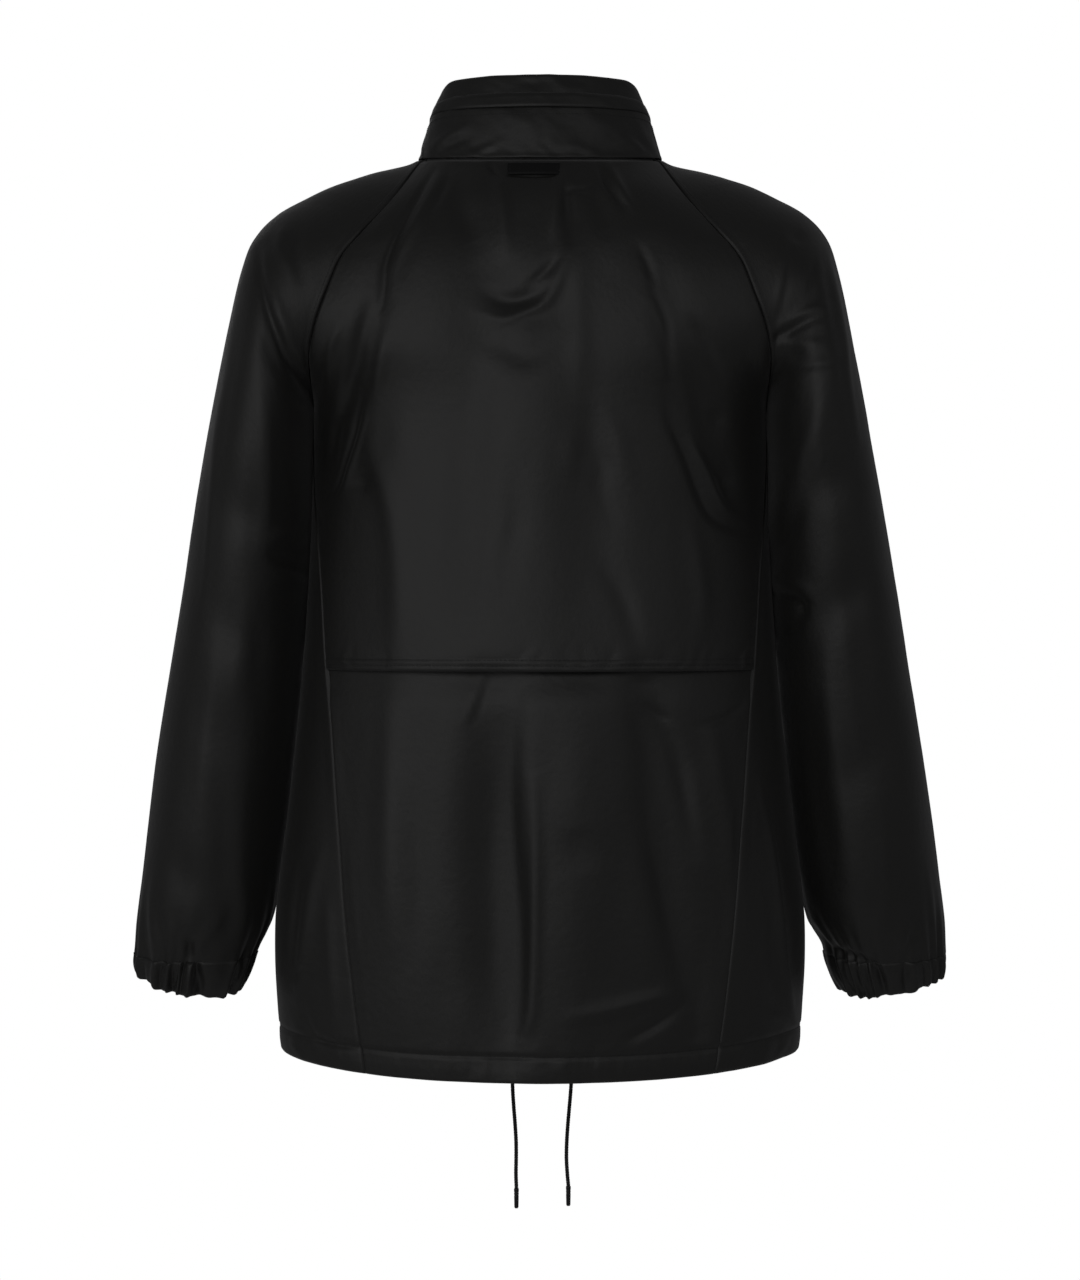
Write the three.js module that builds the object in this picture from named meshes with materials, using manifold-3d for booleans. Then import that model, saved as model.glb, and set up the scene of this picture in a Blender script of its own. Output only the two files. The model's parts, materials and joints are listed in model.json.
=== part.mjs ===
// A light woven windbreaker jacket, filled out as if worn, with hollow body, sleeves and collar.
// Millimetres, +Z up. The wearer faces -Y and +X is the wearer's left.
// The origin is at the middle of the neck seam, level with the sides of the neck.
import * as THREE from 'three';
import { mergeVertices } from 'three/addons/utils/BufferGeometryUtils.js';
import Module from 'manifold-3d';

const wasm = await Module();
wasm.setup();

// Cloth and seams
const CLOTH = 1.5;
const HEM_CLOTH = 2.6;
const SEAM_GAP = 0.3;
const LAYER_GAP = 0.5;

// The neck seam, an ellipse seen from above, and where the raglan seams meet it
const NECK_HALF_WIDTH = 97;
const NECK_HALF_DEPTH = 70.5;
const NECK_MIDDLE_Y = -4.5;
const NECK_BACK_Z = -11;
const NECK_FRONT_Z = -62;
const NECK_BACK_SEAM = { angle: 73.5, z: -3 };
const NECK_FRONT_SEAM = { angle: 124.4, z: -24 };

// The body below the underarms
const UNDERARM_Z = -204;
const HEM_Z = -716;
const BODY_LENGTH = UNDERARM_Z - HEM_Z;
const BODY_MIDDLE_Y = 2;
const HEM_BACK_DIP = 5.5;
const HEM_SIDE_RISE = 5;
const CASING_HEIGHT = 20;

// The back yoke flap and the lower back under it
const CAPE_HEM_Z = -409;
const CAPE_LIFT = 6;
const CAPE_LIFT_FROM_Z = -290;
const LOWER_BACK_TOP_Z = -345;

// Collar, zip and small pieces
const COLLAR_TOP = { halfWidth: 80, halfDepth: 55, middleY: -1, backZ: 57, frontZ: 2 };
const COLLAR_RISE = [-1.25, 0.55];
const COLLAR_HEIGHT = 64;
const COLLAR_BULGE = 2.2;
const COLLAR_SPLIT = 0.66;
const COLLAR_TOP_CLOTH = 2.4;
const WELT = { from: 0.6, to: 0.78, cloth: 1.2, lift: 2.3 };
const ZIP = { halfWidth: 4, cloth: 2 };
const LOOP = { halfWidth: 20, fromRow: 0.045, toRow: 0.115, cloth: 1, lift: 1.4, archPower: 0.6 };
const CUFF = { gathers: 20, wave: 1.3, cloth: 2, slot: 0.4 };

const CLOTH_COLOUR = 0x1c1c1e;
const TRIM_COLOUR = 0x161617;
const METAL_COLOUR = 0x3a3a3d;

// The body above the underarms: row 0 is the neck seam and row 1 the underarm level.
// backTurn and frontTurn are the angles in degrees that each half row bends through.
const UPPER_ROWS = [
  { at: 0.0, backY: 66, backZ: -11, backTurn: 73.5, frontY: -75, frontZ: -62, frontTurn: 55.6 },
  { at: 0.15, backY: 84, backZ: -36, backTurn: 62, frontY: -88, frontZ: -78, frontTurn: 54 },
  { at: 0.3, backY: 96, backZ: -66, backTurn: 56, frontY: -98, frontZ: -97, frontTurn: 55 },
  { at: 0.45, backY: 104, backZ: -92, backTurn: 57, frontY: -105, frontZ: -115, frontTurn: 57 },
  { at: 0.6, backY: 109, backZ: -120, backTurn: 62, frontY: -110.5, frontZ: -135, frontTurn: 62 },
  { at: 0.75, backY: 112, backZ: -149, backTurn: 70, frontY: -114.5, frontZ: -158, frontTurn: 70 },
  { at: 0.87, backY: 113.5, backZ: -174, backTurn: 78, frontY: -117, frontZ: -178, frontTurn: 78 },
  { at: 1.0, backY: 114.5, backZ: -204, backTurn: 90, frontY: -118.5, frontZ: -204, frontTurn: 90 },
];

// The body below the underarms, by height: half width, depths behind and in front of its middle,
// and the angle round from the centre back at which the side seam runs.
const LOWER_ROWS = [
  { at: -204, halfWidth: 180.5, back: 112.5, front: 120.5, sideSeam: 90 },
  { at: -260, halfWidth: 181, back: 113.5, front: 121.5, sideSeam: 81 },
  { at: -330, halfWidth: 183.5, back: 115, front: 122.5, sideSeam: 70.6 },
  { at: -400, halfWidth: 188.5, back: 117, front: 123, sideSeam: 63 },
  { at: -450, halfWidth: 193, back: 118.5, front: 123, sideSeam: 57.5 },
  { at: -530, halfWidth: 202, back: 121, front: 122.5, sideSeam: 50.6 },
  { at: -600, halfWidth: 210.5, back: 122.6, front: 121.4, sideSeam: 45.4 },
  { at: -640, halfWidth: 211.5, back: 123.2, front: 120.8, sideSeam: 43.4 },
  { at: -680, halfWidth: 209.5, back: 124, front: 120, sideSeam: 42 },
  { at: -716, halfWidth: 206.5, back: 123.5, front: 118, sideSeam: 40.5 },
];

// The sleeve's edge lines, from the neck seam (0) past the underarm (1) to the cuff (2.2).
// outer is the point on top of or outside the arm, and inner is the middle between the two seam points, or
// the point on the underarm seam.
const SLEEVE_LINES = [
  { at: 0.0, outerX: 97, outerZ: 0, innerX: 86.5, innerY: -14.4, innerZ: -13.5 },
  { at: 0.15, outerX: 127, outerZ: -7.4, innerX: 107, innerY: -3, innerZ: -43 },
  { at: 0.3, outerX: 156, outerZ: -21.2, innerX: 130, innerY: 2, innerZ: -74 },
  { at: 0.45, outerX: 184, outerZ: -34.2, innerX: 149.5, innerY: 3, innerZ: -96 },
  { at: 0.6, outerX: 210, outerZ: -47.6, innerX: 163, innerY: 3, innerZ: -122 },
  { at: 0.75, outerX: 228, outerZ: -67.6, innerX: 173.5, innerY: 2.5, innerZ: -149.5 },
  { at: 0.87, outerX: 237, outerZ: -94, innerX: 178.6, innerY: 2, innerZ: -174 },
  { at: 1.0, outerX: 247.7, outerZ: -140, innerX: 180.5, innerY: 2, innerZ: -204 },
  { at: 1.1, outerX: 255.5, outerZ: -178, innerX: 182.4, innerY: 2, innerZ: -236 },
  { at: 1.2, outerX: 263, outerZ: -215, innerX: 182.8, innerY: 2, innerZ: -264 },
  { at: 1.32, outerX: 271, outerZ: -258, innerX: 183.5, innerY: 1, innerZ: -298 },
  { at: 1.46, outerX: 280, outerZ: -312, innerX: 185.4, innerY: 0, innerZ: -340 },
  { at: 1.6, outerX: 289.5, outerZ: -370, innerX: 188.8, innerY: -1, innerZ: -390 },
  { at: 1.75, outerX: 301, outerZ: -440, innerX: 194, innerY: -1, innerZ: -450 },
  { at: 1.9, outerX: 312, outerZ: -512, innerX: 201.4, innerY: -1, innerZ: -516 },
  { at: 2.02, outerX: 320, outerZ: -570, innerX: 208.2, innerY: 0, innerZ: -570 },
  { at: 2.12, outerX: 325, outerZ: -610, innerX: 215.5, innerY: 0, innerZ: -608 },
  { at: 2.2, outerX: 326.5, outerZ: -637, innerX: 230, innerY: 0, innerZ: -638 },
];

// The sleeve's roundness at the same places: half the row's depth, how far the row's back half leans out
// and up against its front half, and the angle in degrees that each half row bends through.
const SLEEVE_ROUNDNESS = [
  { at: 0.0, halfDepth: 39, leanX: 8.5, leanZ: 13.7, turn: 50 },
  { at: 0.15, halfDepth: 69, leanX: 6, leanZ: 8, turn: 58 },
  { at: 0.3, halfDepth: 83.2, leanX: 6, leanZ: 7.5, turn: 66 },
  { at: 0.45, halfDepth: 85, leanX: 4, leanZ: 6, turn: 78 },
  { at: 0.6, halfDepth: 86.5, leanX: 2, leanZ: 4, turn: 93 },
  { at: 0.75, halfDepth: 88, leanX: 1.8, leanZ: 3, turn: 113 },
  { at: 0.87, halfDepth: 91, leanX: 1.5, leanZ: 3, turn: 135 },
  { at: 1.0, halfDepth: 93, leanX: 0, leanZ: 2, turn: 180 },
  { at: 1.1, halfDepth: 91, leanX: 0, leanZ: 1, turn: 180 },
  { at: 1.2, halfDepth: 88, leanX: 0, leanZ: 0, turn: 180 },
  { at: 1.32, halfDepth: 84, leanX: 0, leanZ: 0, turn: 180 },
  { at: 1.46, halfDepth: 80, leanX: 0, leanZ: 0, turn: 180 },
  { at: 1.6, halfDepth: 77, leanX: 0, leanZ: 0, turn: 180 },
  { at: 1.75, halfDepth: 74, leanX: 0, leanZ: 0, turn: 180 },
  { at: 1.9, halfDepth: 70, leanX: 0, leanZ: 0, turn: 180 },
  { at: 2.02, halfDepth: 65, leanX: 0, leanZ: 0, turn: 180 },
  { at: 2.12, halfDepth: 57, leanX: 0, leanZ: -2, turn: 180 },
  { at: 2.2, halfDepth: 45, leanX: 0, leanZ: -6, turn: 180 },
];
const SLEEVE_END = 2.2;
const NECK_EASE_END = 0.4;
const ARM_FORWARD = 20;
const ARM_FORWARD_FROM = 1.05;

// Rows: the seams at the neck lie half a seam gap from row 0, and the raglan seam has this many steps.
const NECK_EDGE_ROW = 0.004;
const SEAM_STEPS = 12;
const CASING_TOP_ROW = 2 - CASING_HEIGHT / BODY_LENGTH;
const CASING_STEP = 0.004;
const CASING_ROWS = [CASING_TOP_ROW + CASING_STEP, 2];

// The gathered cuff, from the sleeve's end (0) to its free edge (1)
const CUFF_ROWS = [
  { at: 0, outerX: 326.5, outerZ: -638, innerX: 231, innerZ: -639.5, halfDepth: 43, leanZ: -6 },
  { at: 0.5, outerX: 326, outerZ: -646, innerX: 236.5, innerZ: -653, halfDepth: 38, leanZ: -7 },
  { at: 1, outerX: 324.5, outerZ: -653, innerX: 243, innerZ: -667, halfDepth: 36, leanZ: -8 },
];

// Folds: soft troughs (negative depth) and ridges (positive depth) along a bent line, seen from the back
// or the front in X and Z. The line runs from its start past its bend to its end.
const BACK_FOLDS = [
  { startX: 98, startZ: -42, bendX: 118, bendZ: -95, endX: 158, endZ: -240, width: 12, depth: -5 },
  { startX: -88, startZ: -90, bendX: -122, bendZ: -170, endX: -156, endZ: -292, width: 14, depth: -5 },
  { startX: 58, startZ: -70, bendX: 10, bendZ: -175, endX: -46, endZ: -110, width: 22, depth: -4 },
  { startX: 46, startZ: -110, bendX: 60, bendZ: -250, endX: 52, endZ: -370, width: 20, depth: -4 },
  { startX: -30, startZ: -150, bendX: -48, bendZ: -270, endX: -36, endZ: -390, width: 24, depth: -4.5 },
  { startX: 108, startZ: -170, bendX: 112, bendZ: -290, endX: 96, endZ: -395, width: 24, depth: 4 },
  { startX: 46, startZ: -424, bendX: 60, bendZ: -560, endX: 38, endZ: -700, width: 19, depth: -9 },
  { startX: -78, startZ: -424, bendX: -92, bendZ: -560, endX: -124, endZ: -670, width: 18, depth: -7 },
  { startX: 108, startZ: -424, bendX: 116, bendZ: -560, endX: 98, endZ: -690, width: 24, depth: 5 },
  { startX: -24, startZ: -440, bendX: -34, bendZ: -560, endX: -22, endZ: -690, width: 26, depth: 4 },
];
const FRONT_FOLDS = [
  { startX: 86, startZ: -110, bendX: 104, bendZ: -190, endX: 150, endZ: -300, width: 13, depth: -3.2 },
  { startX: -80, startZ: -120, bendX: -112, bendZ: -200, endX: -148, endZ: -320, width: 14, depth: -3 },
  { startX: 60, startZ: -250, bendX: 72, bendZ: -440, endX: 58, endZ: -690, width: 20, depth: -3.6 },
  { startX: -70, startZ: -220, bendX: -58, bendZ: -420, endX: -84, endZ: -690, width: 22, depth: -4 },
  { startX: 118, startZ: -380, bendX: 128, bendZ: -540, endX: 112, endZ: -690, width: 22, depth: 3 },
  { startX: -126, startZ: -400, bendX: -120, bendZ: -540, endX: -136, endZ: -680, width: 20, depth: 2.6 },
];
const LEFT_SLEEVE_FOLDS = [
  { startX: 216, startZ: -70, bendX: 214, bendZ: -130, endX: 196, endZ: -190, width: 11, depth: -4.5 },
  { startX: 262, startZ: -250, bendX: 232, bendZ: -300, endX: 206, endZ: -292, width: 13, depth: -5 },
  { startX: 272, startZ: -330, bendX: 240, bendZ: -400, endX: 208, endZ: -380, width: 15, depth: -4.5 },
  { startX: 268, startZ: -420, bendX: 250, bendZ: -470, endX: 222, endZ: -470, width: 14, depth: -3.5 },
  { startX: 300, startZ: -545, bendX: 272, bendZ: -590, endX: 240, endZ: -570, width: 14, depth: -4 },
];
const RIGHT_SLEEVE_FOLDS = [
  { startX: 222, startZ: -118, bendX: 196, bendZ: -128, endX: 184, endZ: -176, width: 11, depth: -4.5 },
  { startX: 252, startZ: -232, bendX: 228, bendZ: -276, endX: 208, endZ: -262, width: 13, depth: -4.5 },
  { startX: 266, startZ: -336, bendX: 226, bendZ: -348, endX: 208, endZ: -392, width: 13, depth: -6 },
  { startX: 284, startZ: -430, bendX: 262, bendZ: -500, endX: 224, endZ: -492, width: 16, depth: -4 },
  { startX: 306, startZ: -560, bendX: 286, bendZ: -606, endX: 250, endZ: -588, width: 13, depth: -4.5 },
];

// Small solids: the slider, its pull tab and the drawcord
const SLIDER = { collarShare: 0.8, width: 8, height: 12, cut: 1.2, plate: 2.2 };
const EAR = { width: 1.2, inside: 2.6, radius: 1.8, sunk: 0.3 };
const PIN = { radius: 0.8, out: 5, short: 0.2 };
const PULL = { width: 6.6, length: 27, thickness: 1.6, cut: 1.4, holeUp: 5 };
const PULL_NECK = { width: 4.2, eyeRadius: 2, boreRadius: 1.25, shoulder: 4.6, sunk: 0.5 };
const CORD = { radius: 1.6, sides: 8, steps: 17, tipRadius: 2.1, tipNarrowing: 0.8, tipLength: 17 };
const CORD_EXIT_X = { left: 22, right: -26 };
// The routes of both cords down from the hem, as offsets from where each leaves the casing
const CORD_ROUTES = {
  left: [
    { x: 0, y: 0, z: 0 },
    { x: 0.2, y: -0.4, z: -8 },
    { x: 0.8, y: -1.2, z: -20 },
    { x: 1.2, y: -1.6, z: -34 },
    { x: 0.9, y: -1.4, z: -48 },
    { x: 0, y: -0.8, z: -62 },
    { x: -1.1, y: -0.2, z: -76 },
    { x: -1.9, y: 0.3, z: -90 },
    { x: -2, y: 0.5, z: -104 },
    { x: -1.8, y: 0.4, z: -117 },
    { x: -2.2, y: 0.2, z: -129 },
  ],
  right: [
    { x: 0, y: 0, z: 0 },
    { x: -0.2, y: -0.5, z: -8 },
    { x: -0.6, y: -1.4, z: -20 },
    { x: -0.6, y: -1.9, z: -34 },
    { x: 0.2, y: -1.7, z: -48 },
    { x: 1.4, y: -1, z: -62 },
    { x: 2.6, y: -0.3, z: -76 },
    { x: 3.5, y: 0.2, z: -90 },
    { x: 3.8, y: 0.4, z: -104 },
    { x: 3.1, y: 0.3, z: -117 },
    { x: 2.2, y: 0.1, z: -127 },
  ],
};

// How folds die out: at their own ends, towards the seams, beside the front zip and at the body's sides
const FOLD_ENDS = [0.12, 0.88];
const SEAM_FADE = 0.16;
const ZIP_FADE = [0.05, 0.2];
const SIDE_FADE = 50;
const FRONT_OF_SLEEVE = 0.7;

// Steps for measuring a surface's slope and width
const SLOPE_STEP = 0.004;
const NEAR_EDGE = 0.02;
const NEAR_CENTRE = 0.05;

const jacket = new THREE.Group();

function radians(degrees) {
  return THREE.MathUtils.degToRad(degrees);
}

// A table's row at any place between its rows, each column on a smooth curve.
function tableAt(table, at) {
  const last = table.length - 1;
  const direction = Math.sign(table[1].at - table[0].at);
  let i = 0;
  while (i < last - 1 && (at - table[i + 1].at) * direction > 0) i += 1;
  const before = table[Math.max(i - 1, 0)];
  const start = table[i];
  const end = table[i + 1];
  const after = table[Math.min(i + 2, last)];
  const span = end.at - start.at;
  const t = (at - start.at) / span;
  const row = {};
  for (const name of Object.keys(start)) {
    const slopeStart = (end[name] - before[name]) / (end.at - before.at);
    const slopeEnd = (after[name] - start[name]) / (after.at - start.at);
    row[name] = hermite(start[name], end[name], slopeStart * span, slopeEnd * span, t);
  }
  return row;
}

function hermite(start, end, slopeStart, slopeEnd, t) {
  const t2 = t * t;
  const t3 = t2 * t;
  return start * (2 * t3 - 3 * t2 + 1) + slopeStart * (t3 - 2 * t2 + t)
    + end * (3 * t2 - 2 * t3) + slopeEnd * (t3 - t2);
}

function smoothStep(from, to, value) {
  const t = Math.min(Math.max((value - from) / (to - from), 0), 1);
  return t * t * (3 - 2 * t);
}

function mix(a, b, share) {
  return a + (b - a) * share;
}

// How far the folds of a list move the cloth at a place seen from the back or front.
function foldDepth(folds, x, z) {
  const samples = 14;
  let depth = 0;
  for (const fold of folds) {
    let nearest = Infinity;
    let nearestShare = 0;
    for (let i = 0; i <= samples; i += 1) {
      const t = i / samples;
      const lineX = (1 - t) ** 2 * fold.startX + 2 * t * (1 - t) * fold.bendX + t ** 2 * fold.endX;
      const lineZ = (1 - t) ** 2 * fold.startZ + 2 * t * (1 - t) * fold.bendZ + t ** 2 * fold.endZ;
      const distance = Math.hypot(x - lineX, z - lineZ);
      if (distance < nearest) {
        nearest = distance;
        nearestShare = t;
      }
    }
    const fade = Math.sin(Math.PI * mix(...FOLD_ENDS, nearestShare));
    depth += fold.depth * fade * Math.exp(-((nearest / fold.width) ** 2));
  }
  return depth;
}

// 0 at both edges of a piece and 1 over its middle, so that folds die out at the seams.
function awayFromSeams(share) {
  return smoothStep(0, SEAM_FADE, 1 - Math.abs(share));
}

// The neck seam at an angle round from the centre back.
function neckPoint(angle) {
  const back = NECK_BACK_SEAM;
  const front = NECK_FRONT_SEAM;
  const x = NECK_HALF_WIDTH * Math.sin(radians(angle));
  const y = NECK_MIDDLE_Y + NECK_HALF_DEPTH * Math.cos(radians(angle));
  const backFall = (back.z - NECK_BACK_Z) / (1 - Math.cos(radians(back.angle)));
  const frontFall = (front.z - NECK_FRONT_Z) / (1 + Math.cos(radians(front.angle)));
  let z;
  if (angle <= back.angle) {
    z = NECK_BACK_Z + backFall * (1 - Math.cos(radians(angle)));
  } else if (angle >= front.angle) {
    z = NECK_FRONT_Z + frontFall * (1 + Math.cos(radians(angle)));
  } else {
    const span = radians(front.angle - back.angle);
    const slopeBack = backFall * Math.sin(radians(back.angle)) * span;
    const slopeFront = -frontFall * Math.sin(radians(front.angle)) * span;
    const t = (angle - back.angle) / (front.angle - back.angle);
    z = hermite(back.z, front.z, slopeBack, slopeFront, t);
  }
  return new THREE.Vector3(x, y, z);
}

// The arc of a sleeve row: side runs from -1 at the front seam to 1 at the back seam.
function sleeveArc(row, side) {
  const turn = radians(row.turn);
  const angle = side * turn;
  const reach = 1 - Math.cos(turn);
  const towards = new THREE.Vector3(row.outerX - row.innerX, -row.innerY, row.outerZ - row.innerZ);
  towards.divideScalar(reach);
  const across = new THREE.Vector3(row.leanX, row.halfDepth, row.leanZ);
  return new THREE.Vector3(row.outerX, 0, row.outerZ)
    .addScaledVector(towards, Math.cos(angle) - 1)
    .addScaledVector(across, Math.sin(angle));
}

function sleeveRow(at) {
  return { ...tableAt(SLEEVE_LINES, at), ...tableAt(SLEEVE_ROUNDNESS, at) };
}

// The left sleeve's outer surface. Near the neck its rows are eased onto the neck seam.
function sleeveBase(at, side) {
  const point = sleeveArc(sleeveRow(at), side);
  const ease = 1 - smoothStep(0, NECK_EASE_END, at);
  if (ease > 0) {
    const angle = mix(NECK_FRONT_SEAM.angle, NECK_BACK_SEAM.angle, (side + 1) / 2);
    const offset = neckPoint(angle).sub(sleeveArc(sleeveRow(0), side));
    point.addScaledVector(offset, ease);
  }
  point.y -= armForward(at);
  return point;
}

// How far the arm hangs forward of the shoulder at a sleeve row.
function armForward(at) {
  return ARM_FORWARD * smoothStep(ARM_FORWARD_FROM, SLEEVE_END, at);
}

// One side of the back above the underarms or of the front: share runs from 0 at the centre to 1.
function upperPoint(at, share, face) {
  const row = tableAt(UPPER_ROWS, at);
  const turn = radians(row[`${face}Turn`]);
  const seam = sleeveBase(at, face === 'back' ? 1 : -1);
  const bend = (1 - Math.cos(share * turn)) / (1 - Math.cos(turn));
  return new THREE.Vector3(
    seam.x * Math.sin(share * turn) / Math.sin(turn),
    mix(row[`${face}Y`], seam.y, bend),
    mix(row[`${face}Z`], seam.z, bend),
  );
}

// The body below the underarms at a height and an angle round from the centre back.
function lowerPoint(z, angle) {
  const row = tableAt(LOWER_ROWS, z < HEM_Z ? HEM_Z : z);
  const cosine = Math.cos(radians(angle));
  const sine = Math.sin(radians(angle));
  const down = (UNDERARM_Z - z) / BODY_LENGTH;
  const dip = HEM_SIDE_RISE * sine ** 4 - HEM_BACK_DIP * Math.max(cosine, 0) ** 2;
  return new THREE.Vector3(
    row.halfWidth * sine,
    BODY_MIDDLE_Y + (cosine > 0 ? row.back : row.front) * cosine,
    z + dip * down * down,
  );
}

// A row of the body is 0 at the neck, 1 at the underarms and 2 at the hem.
function heightOfRow(at) {
  return UNDERARM_Z - (at - 1) * BODY_LENGTH;
}

function rowOfHeight(z) {
  return 1 + (UNDERARM_Z - z) / BODY_LENGTH;
}

function sideSeamAngle(z) {
  return tableAt(LOWER_ROWS, z).sideSeam;
}

// Moves a body point straight out from, or in to, the body's middle line.
function moveOut(point, distance) {
  const out = new THREE.Vector2(point.x, point.y - BODY_MIDDLE_Y).normalize();
  return new THREE.Vector3(point.x + out.x * distance, point.y + out.y * distance, point.z);
}

// The back's outer surface: share runs from -1 at the right seam to 1 at the left seam.
function backPoint(at, share) {
  let point;
  if (at <= 1) {
    point = upperPoint(at, Math.abs(share), 'back');
  } else {
    const z = heightOfRow(at);
    point = lowerPoint(z, Math.abs(share) * sideSeamAngle(z));
  }
  if (share < 0) point.x = -point.x;
  return moveOut(point, foldDepth(BACK_FOLDS, point.x, point.z) * awayFromSeams(share));
}

// A front's outer surface: share runs from 0 at the centre to 1 at its seam, on the left for sideSign 1.
function frontPoint(at, share, sideSign) {
  let point;
  if (at <= 1) {
    point = upperPoint(at, share, 'front');
  } else {
    const z = heightOfRow(at);
    point = lowerPoint(z, 180 - share * (180 - sideSeamAngle(z)));
  }
  point.x *= sideSign;
  const folds = point.y < BODY_MIDDLE_Y ? foldDepth(FRONT_FOLDS, point.x, point.z) : 0;
  const fade = smoothStep(...ZIP_FADE, share) * awayFromSeams(share);
  const facing = smoothStep(0, SIDE_FADE, BODY_MIDDLE_Y - point.y);
  return moveOut(point, folds * fade * facing);
}

// The cape stands off the lower back towards its free hem.
function capePoint(at, share) {
  const point = backPoint(at, share);
  const lift = CAPE_LIFT * smoothStep(CAPE_LIFT_FROM_Z, CAPE_HEM_Z, point.z);
  return moveOut(point, lift * (1 - share ** 4));
}

// The lower back lies inside the cape where they overlap.
function lowerBackPoint(at, share) {
  const point = backPoint(at, share);
  const covered = smoothStep(CAPE_HEM_Z - 30, CAPE_HEM_Z - 2, point.z);
  return moveOut(point, -covered * (CLOTH + LAYER_GAP));
}

// A sleeve's outer surface with its folds.
function sleevePoint(at, side, sideSign) {
  const point = sleeveBase(at, side);
  const row = sleeveRow(at);
  const middleX = (row.outerX + row.innerX) / 2;
  const middleZ = (row.outerZ + row.innerZ) / 2;
  const out = point.clone().sub(new THREE.Vector3(middleX, -armForward(at), middleZ)).normalize();
  const folds = sideSign > 0 ? LEFT_SLEEVE_FOLDS : RIGHT_SLEEVE_FOLDS;
  const facing = Math.abs(Math.sin(side * radians(row.turn)));
  const depth = foldDepth(folds, point.x, point.z) * facing * awayFromSeams(side);
  point.addScaledVector(out, depth * (side > 0 ? 1 : FRONT_OF_SLEEVE));
  point.x *= sideSign;
  return point;
}

// The collar's outer surface: angle round from the centre back, share from 0 at its foot to 1 at its top.
function collarPoint(angle, share) {
  const size = COLLAR_TOP;
  const foot = neckPoint(Math.abs(angle));
  const cosine = Math.cos(radians(angle));
  const top = new THREE.Vector3(
    size.halfWidth * Math.sin(radians(Math.abs(angle))),
    size.middleY + size.halfDepth * cosine,
    mix(size.frontZ, size.backZ, smoothStep(...COLLAR_RISE, cosine)),
  );
  const point = foot.lerp(top, share);
  const bulge = COLLAR_BULGE * Math.sin(Math.PI * share);
  point.x += bulge * Math.sin(radians(Math.abs(angle)));
  point.y += bulge * cosine;
  if (angle < 0) point.x = -point.x;
  return point;
}

// The share at which a row is a distance in from its seam.
function inset(rowPoint, distance) {
  const length = rowPoint(1).distanceTo(rowPoint(1 - NEAR_EDGE)) / NEAR_EDGE;
  return 1 - distance / length;
}

// The share at which a row is a distance from the centre line.
function besideCentre(rowPoint, distance) {
  return distance * NEAR_CENTRE / Math.abs(rowPoint(NEAR_CENTRE).x);
}

// Evenly spaced places from one to another, both included.
function spaced(from, to, steps) {
  return Array.from({ length: steps + 1 }, (_, i) => mix(from, to, i / steps));
}

// The places of a piece's rows: those of the raglan seam, which every piece beside it shares, and more.
function rowsPastSeam(to, steps) {
  return [...spaced(NECK_EDGE_ROW, 1, SEAM_STEPS), ...spaced(1, to, steps).slice(1)];
}

// A cloth wall over a grid. point(u, at) gives its outer surface for u from 0 to 1 and each row's place,
// and the wall's thickness lies on the inner side. facing is 1 when u crossed with the rows' direction
// points out. ring joins u's ends.
function clothWall(name, point, { across, rows }, options) {
  const { cloth = () => CLOTH, facing = 1, ring = false, colour = CLOTH_COLOUR } = options;
  const columns = ring ? across : across + 1;
  const down = rows.length - 1;
  const step = SLOPE_STEP;
  const outer = [];
  const inner = [];
  for (let j = 0; j <= down; j += 1) {
    for (let i = 0; i < columns; i += 1) {
      const u = i / across;
      const at = rows[j];
      const uFrom = ring ? u - step : Math.max(u - step, 0);
      const uTo = ring ? u + step : Math.min(u + step, 1);
      const atFrom = Math.max(at - step, rows[0]);
      const atTo = Math.min(at + step, rows[down]);
      const alongU = point(uTo, at).sub(point(uFrom, at));
      const alongRows = point(u, atTo).sub(point(u, atFrom));
      const normal = alongU.cross(alongRows).normalize().multiplyScalar(facing);
      const place = point(u, at);
      outer.push(place);
      inner.push(place.clone().addScaledVector(normal, -cloth(at)));
    }
  }
  const count = outer.length;
  const faces = [];
  const quad = (a, b, c, d) => {
    if (facing > 0) faces.push(a, b, c, a, c, d);
    else faces.push(a, c, b, a, d, c);
  };
  const index = (i, j) => j * columns + (ring ? i % across : i);
  const under = (i, j) => count + index(i, j);
  for (let j = 0; j < down; j += 1) {
    for (let i = 0; i < across; i += 1) {
      quad(index(i, j), index(i + 1, j), index(i + 1, j + 1), index(i, j + 1));
      quad(under(i, j), under(i, j + 1), under(i + 1, j + 1), under(i + 1, j));
    }
  }
  for (let i = 0; i < across; i += 1) {
    quad(index(i + 1, 0), index(i, 0), under(i, 0), under(i + 1, 0));
    quad(index(i, down), index(i + 1, down), under(i + 1, down), under(i, down));
  }
  for (let j = 0; j < down && !ring; j += 1) {
    quad(index(0, j), index(0, j + 1), under(0, j + 1), under(0, j));
    quad(index(across, j + 1), index(across, j), under(across, j), under(across, j + 1));
  }
  const geometry = new THREE.BufferGeometry();
  geometry.setFromPoints([...outer, ...inner]);
  geometry.setIndex(faces);
  geometry.computeVertexNormals();
  return addMesh(name, geometry, colour);
}

function addMesh(name, geometry, colour, parent = jacket) {
  const metal = colour === METAL_COLOUR;
  const material = new THREE.MeshStandardMaterial({
    color: colour,
    roughness: metal ? 0.35 : 0.55,
    metalness: metal ? 0.9 : 0,
  });
  const mesh = new THREE.Mesh(geometry, material);
  mesh.name = name;
  parent.add(mesh);
  return mesh;
}

// Thicker folded cloth over the hem casing
function bodyCloth(at) {
  const casingTop = HEM_Z + CASING_HEIGHT;
  return heightOfRow(at) < casingTop ? HEM_CLOTH : CLOTH;
}

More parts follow.
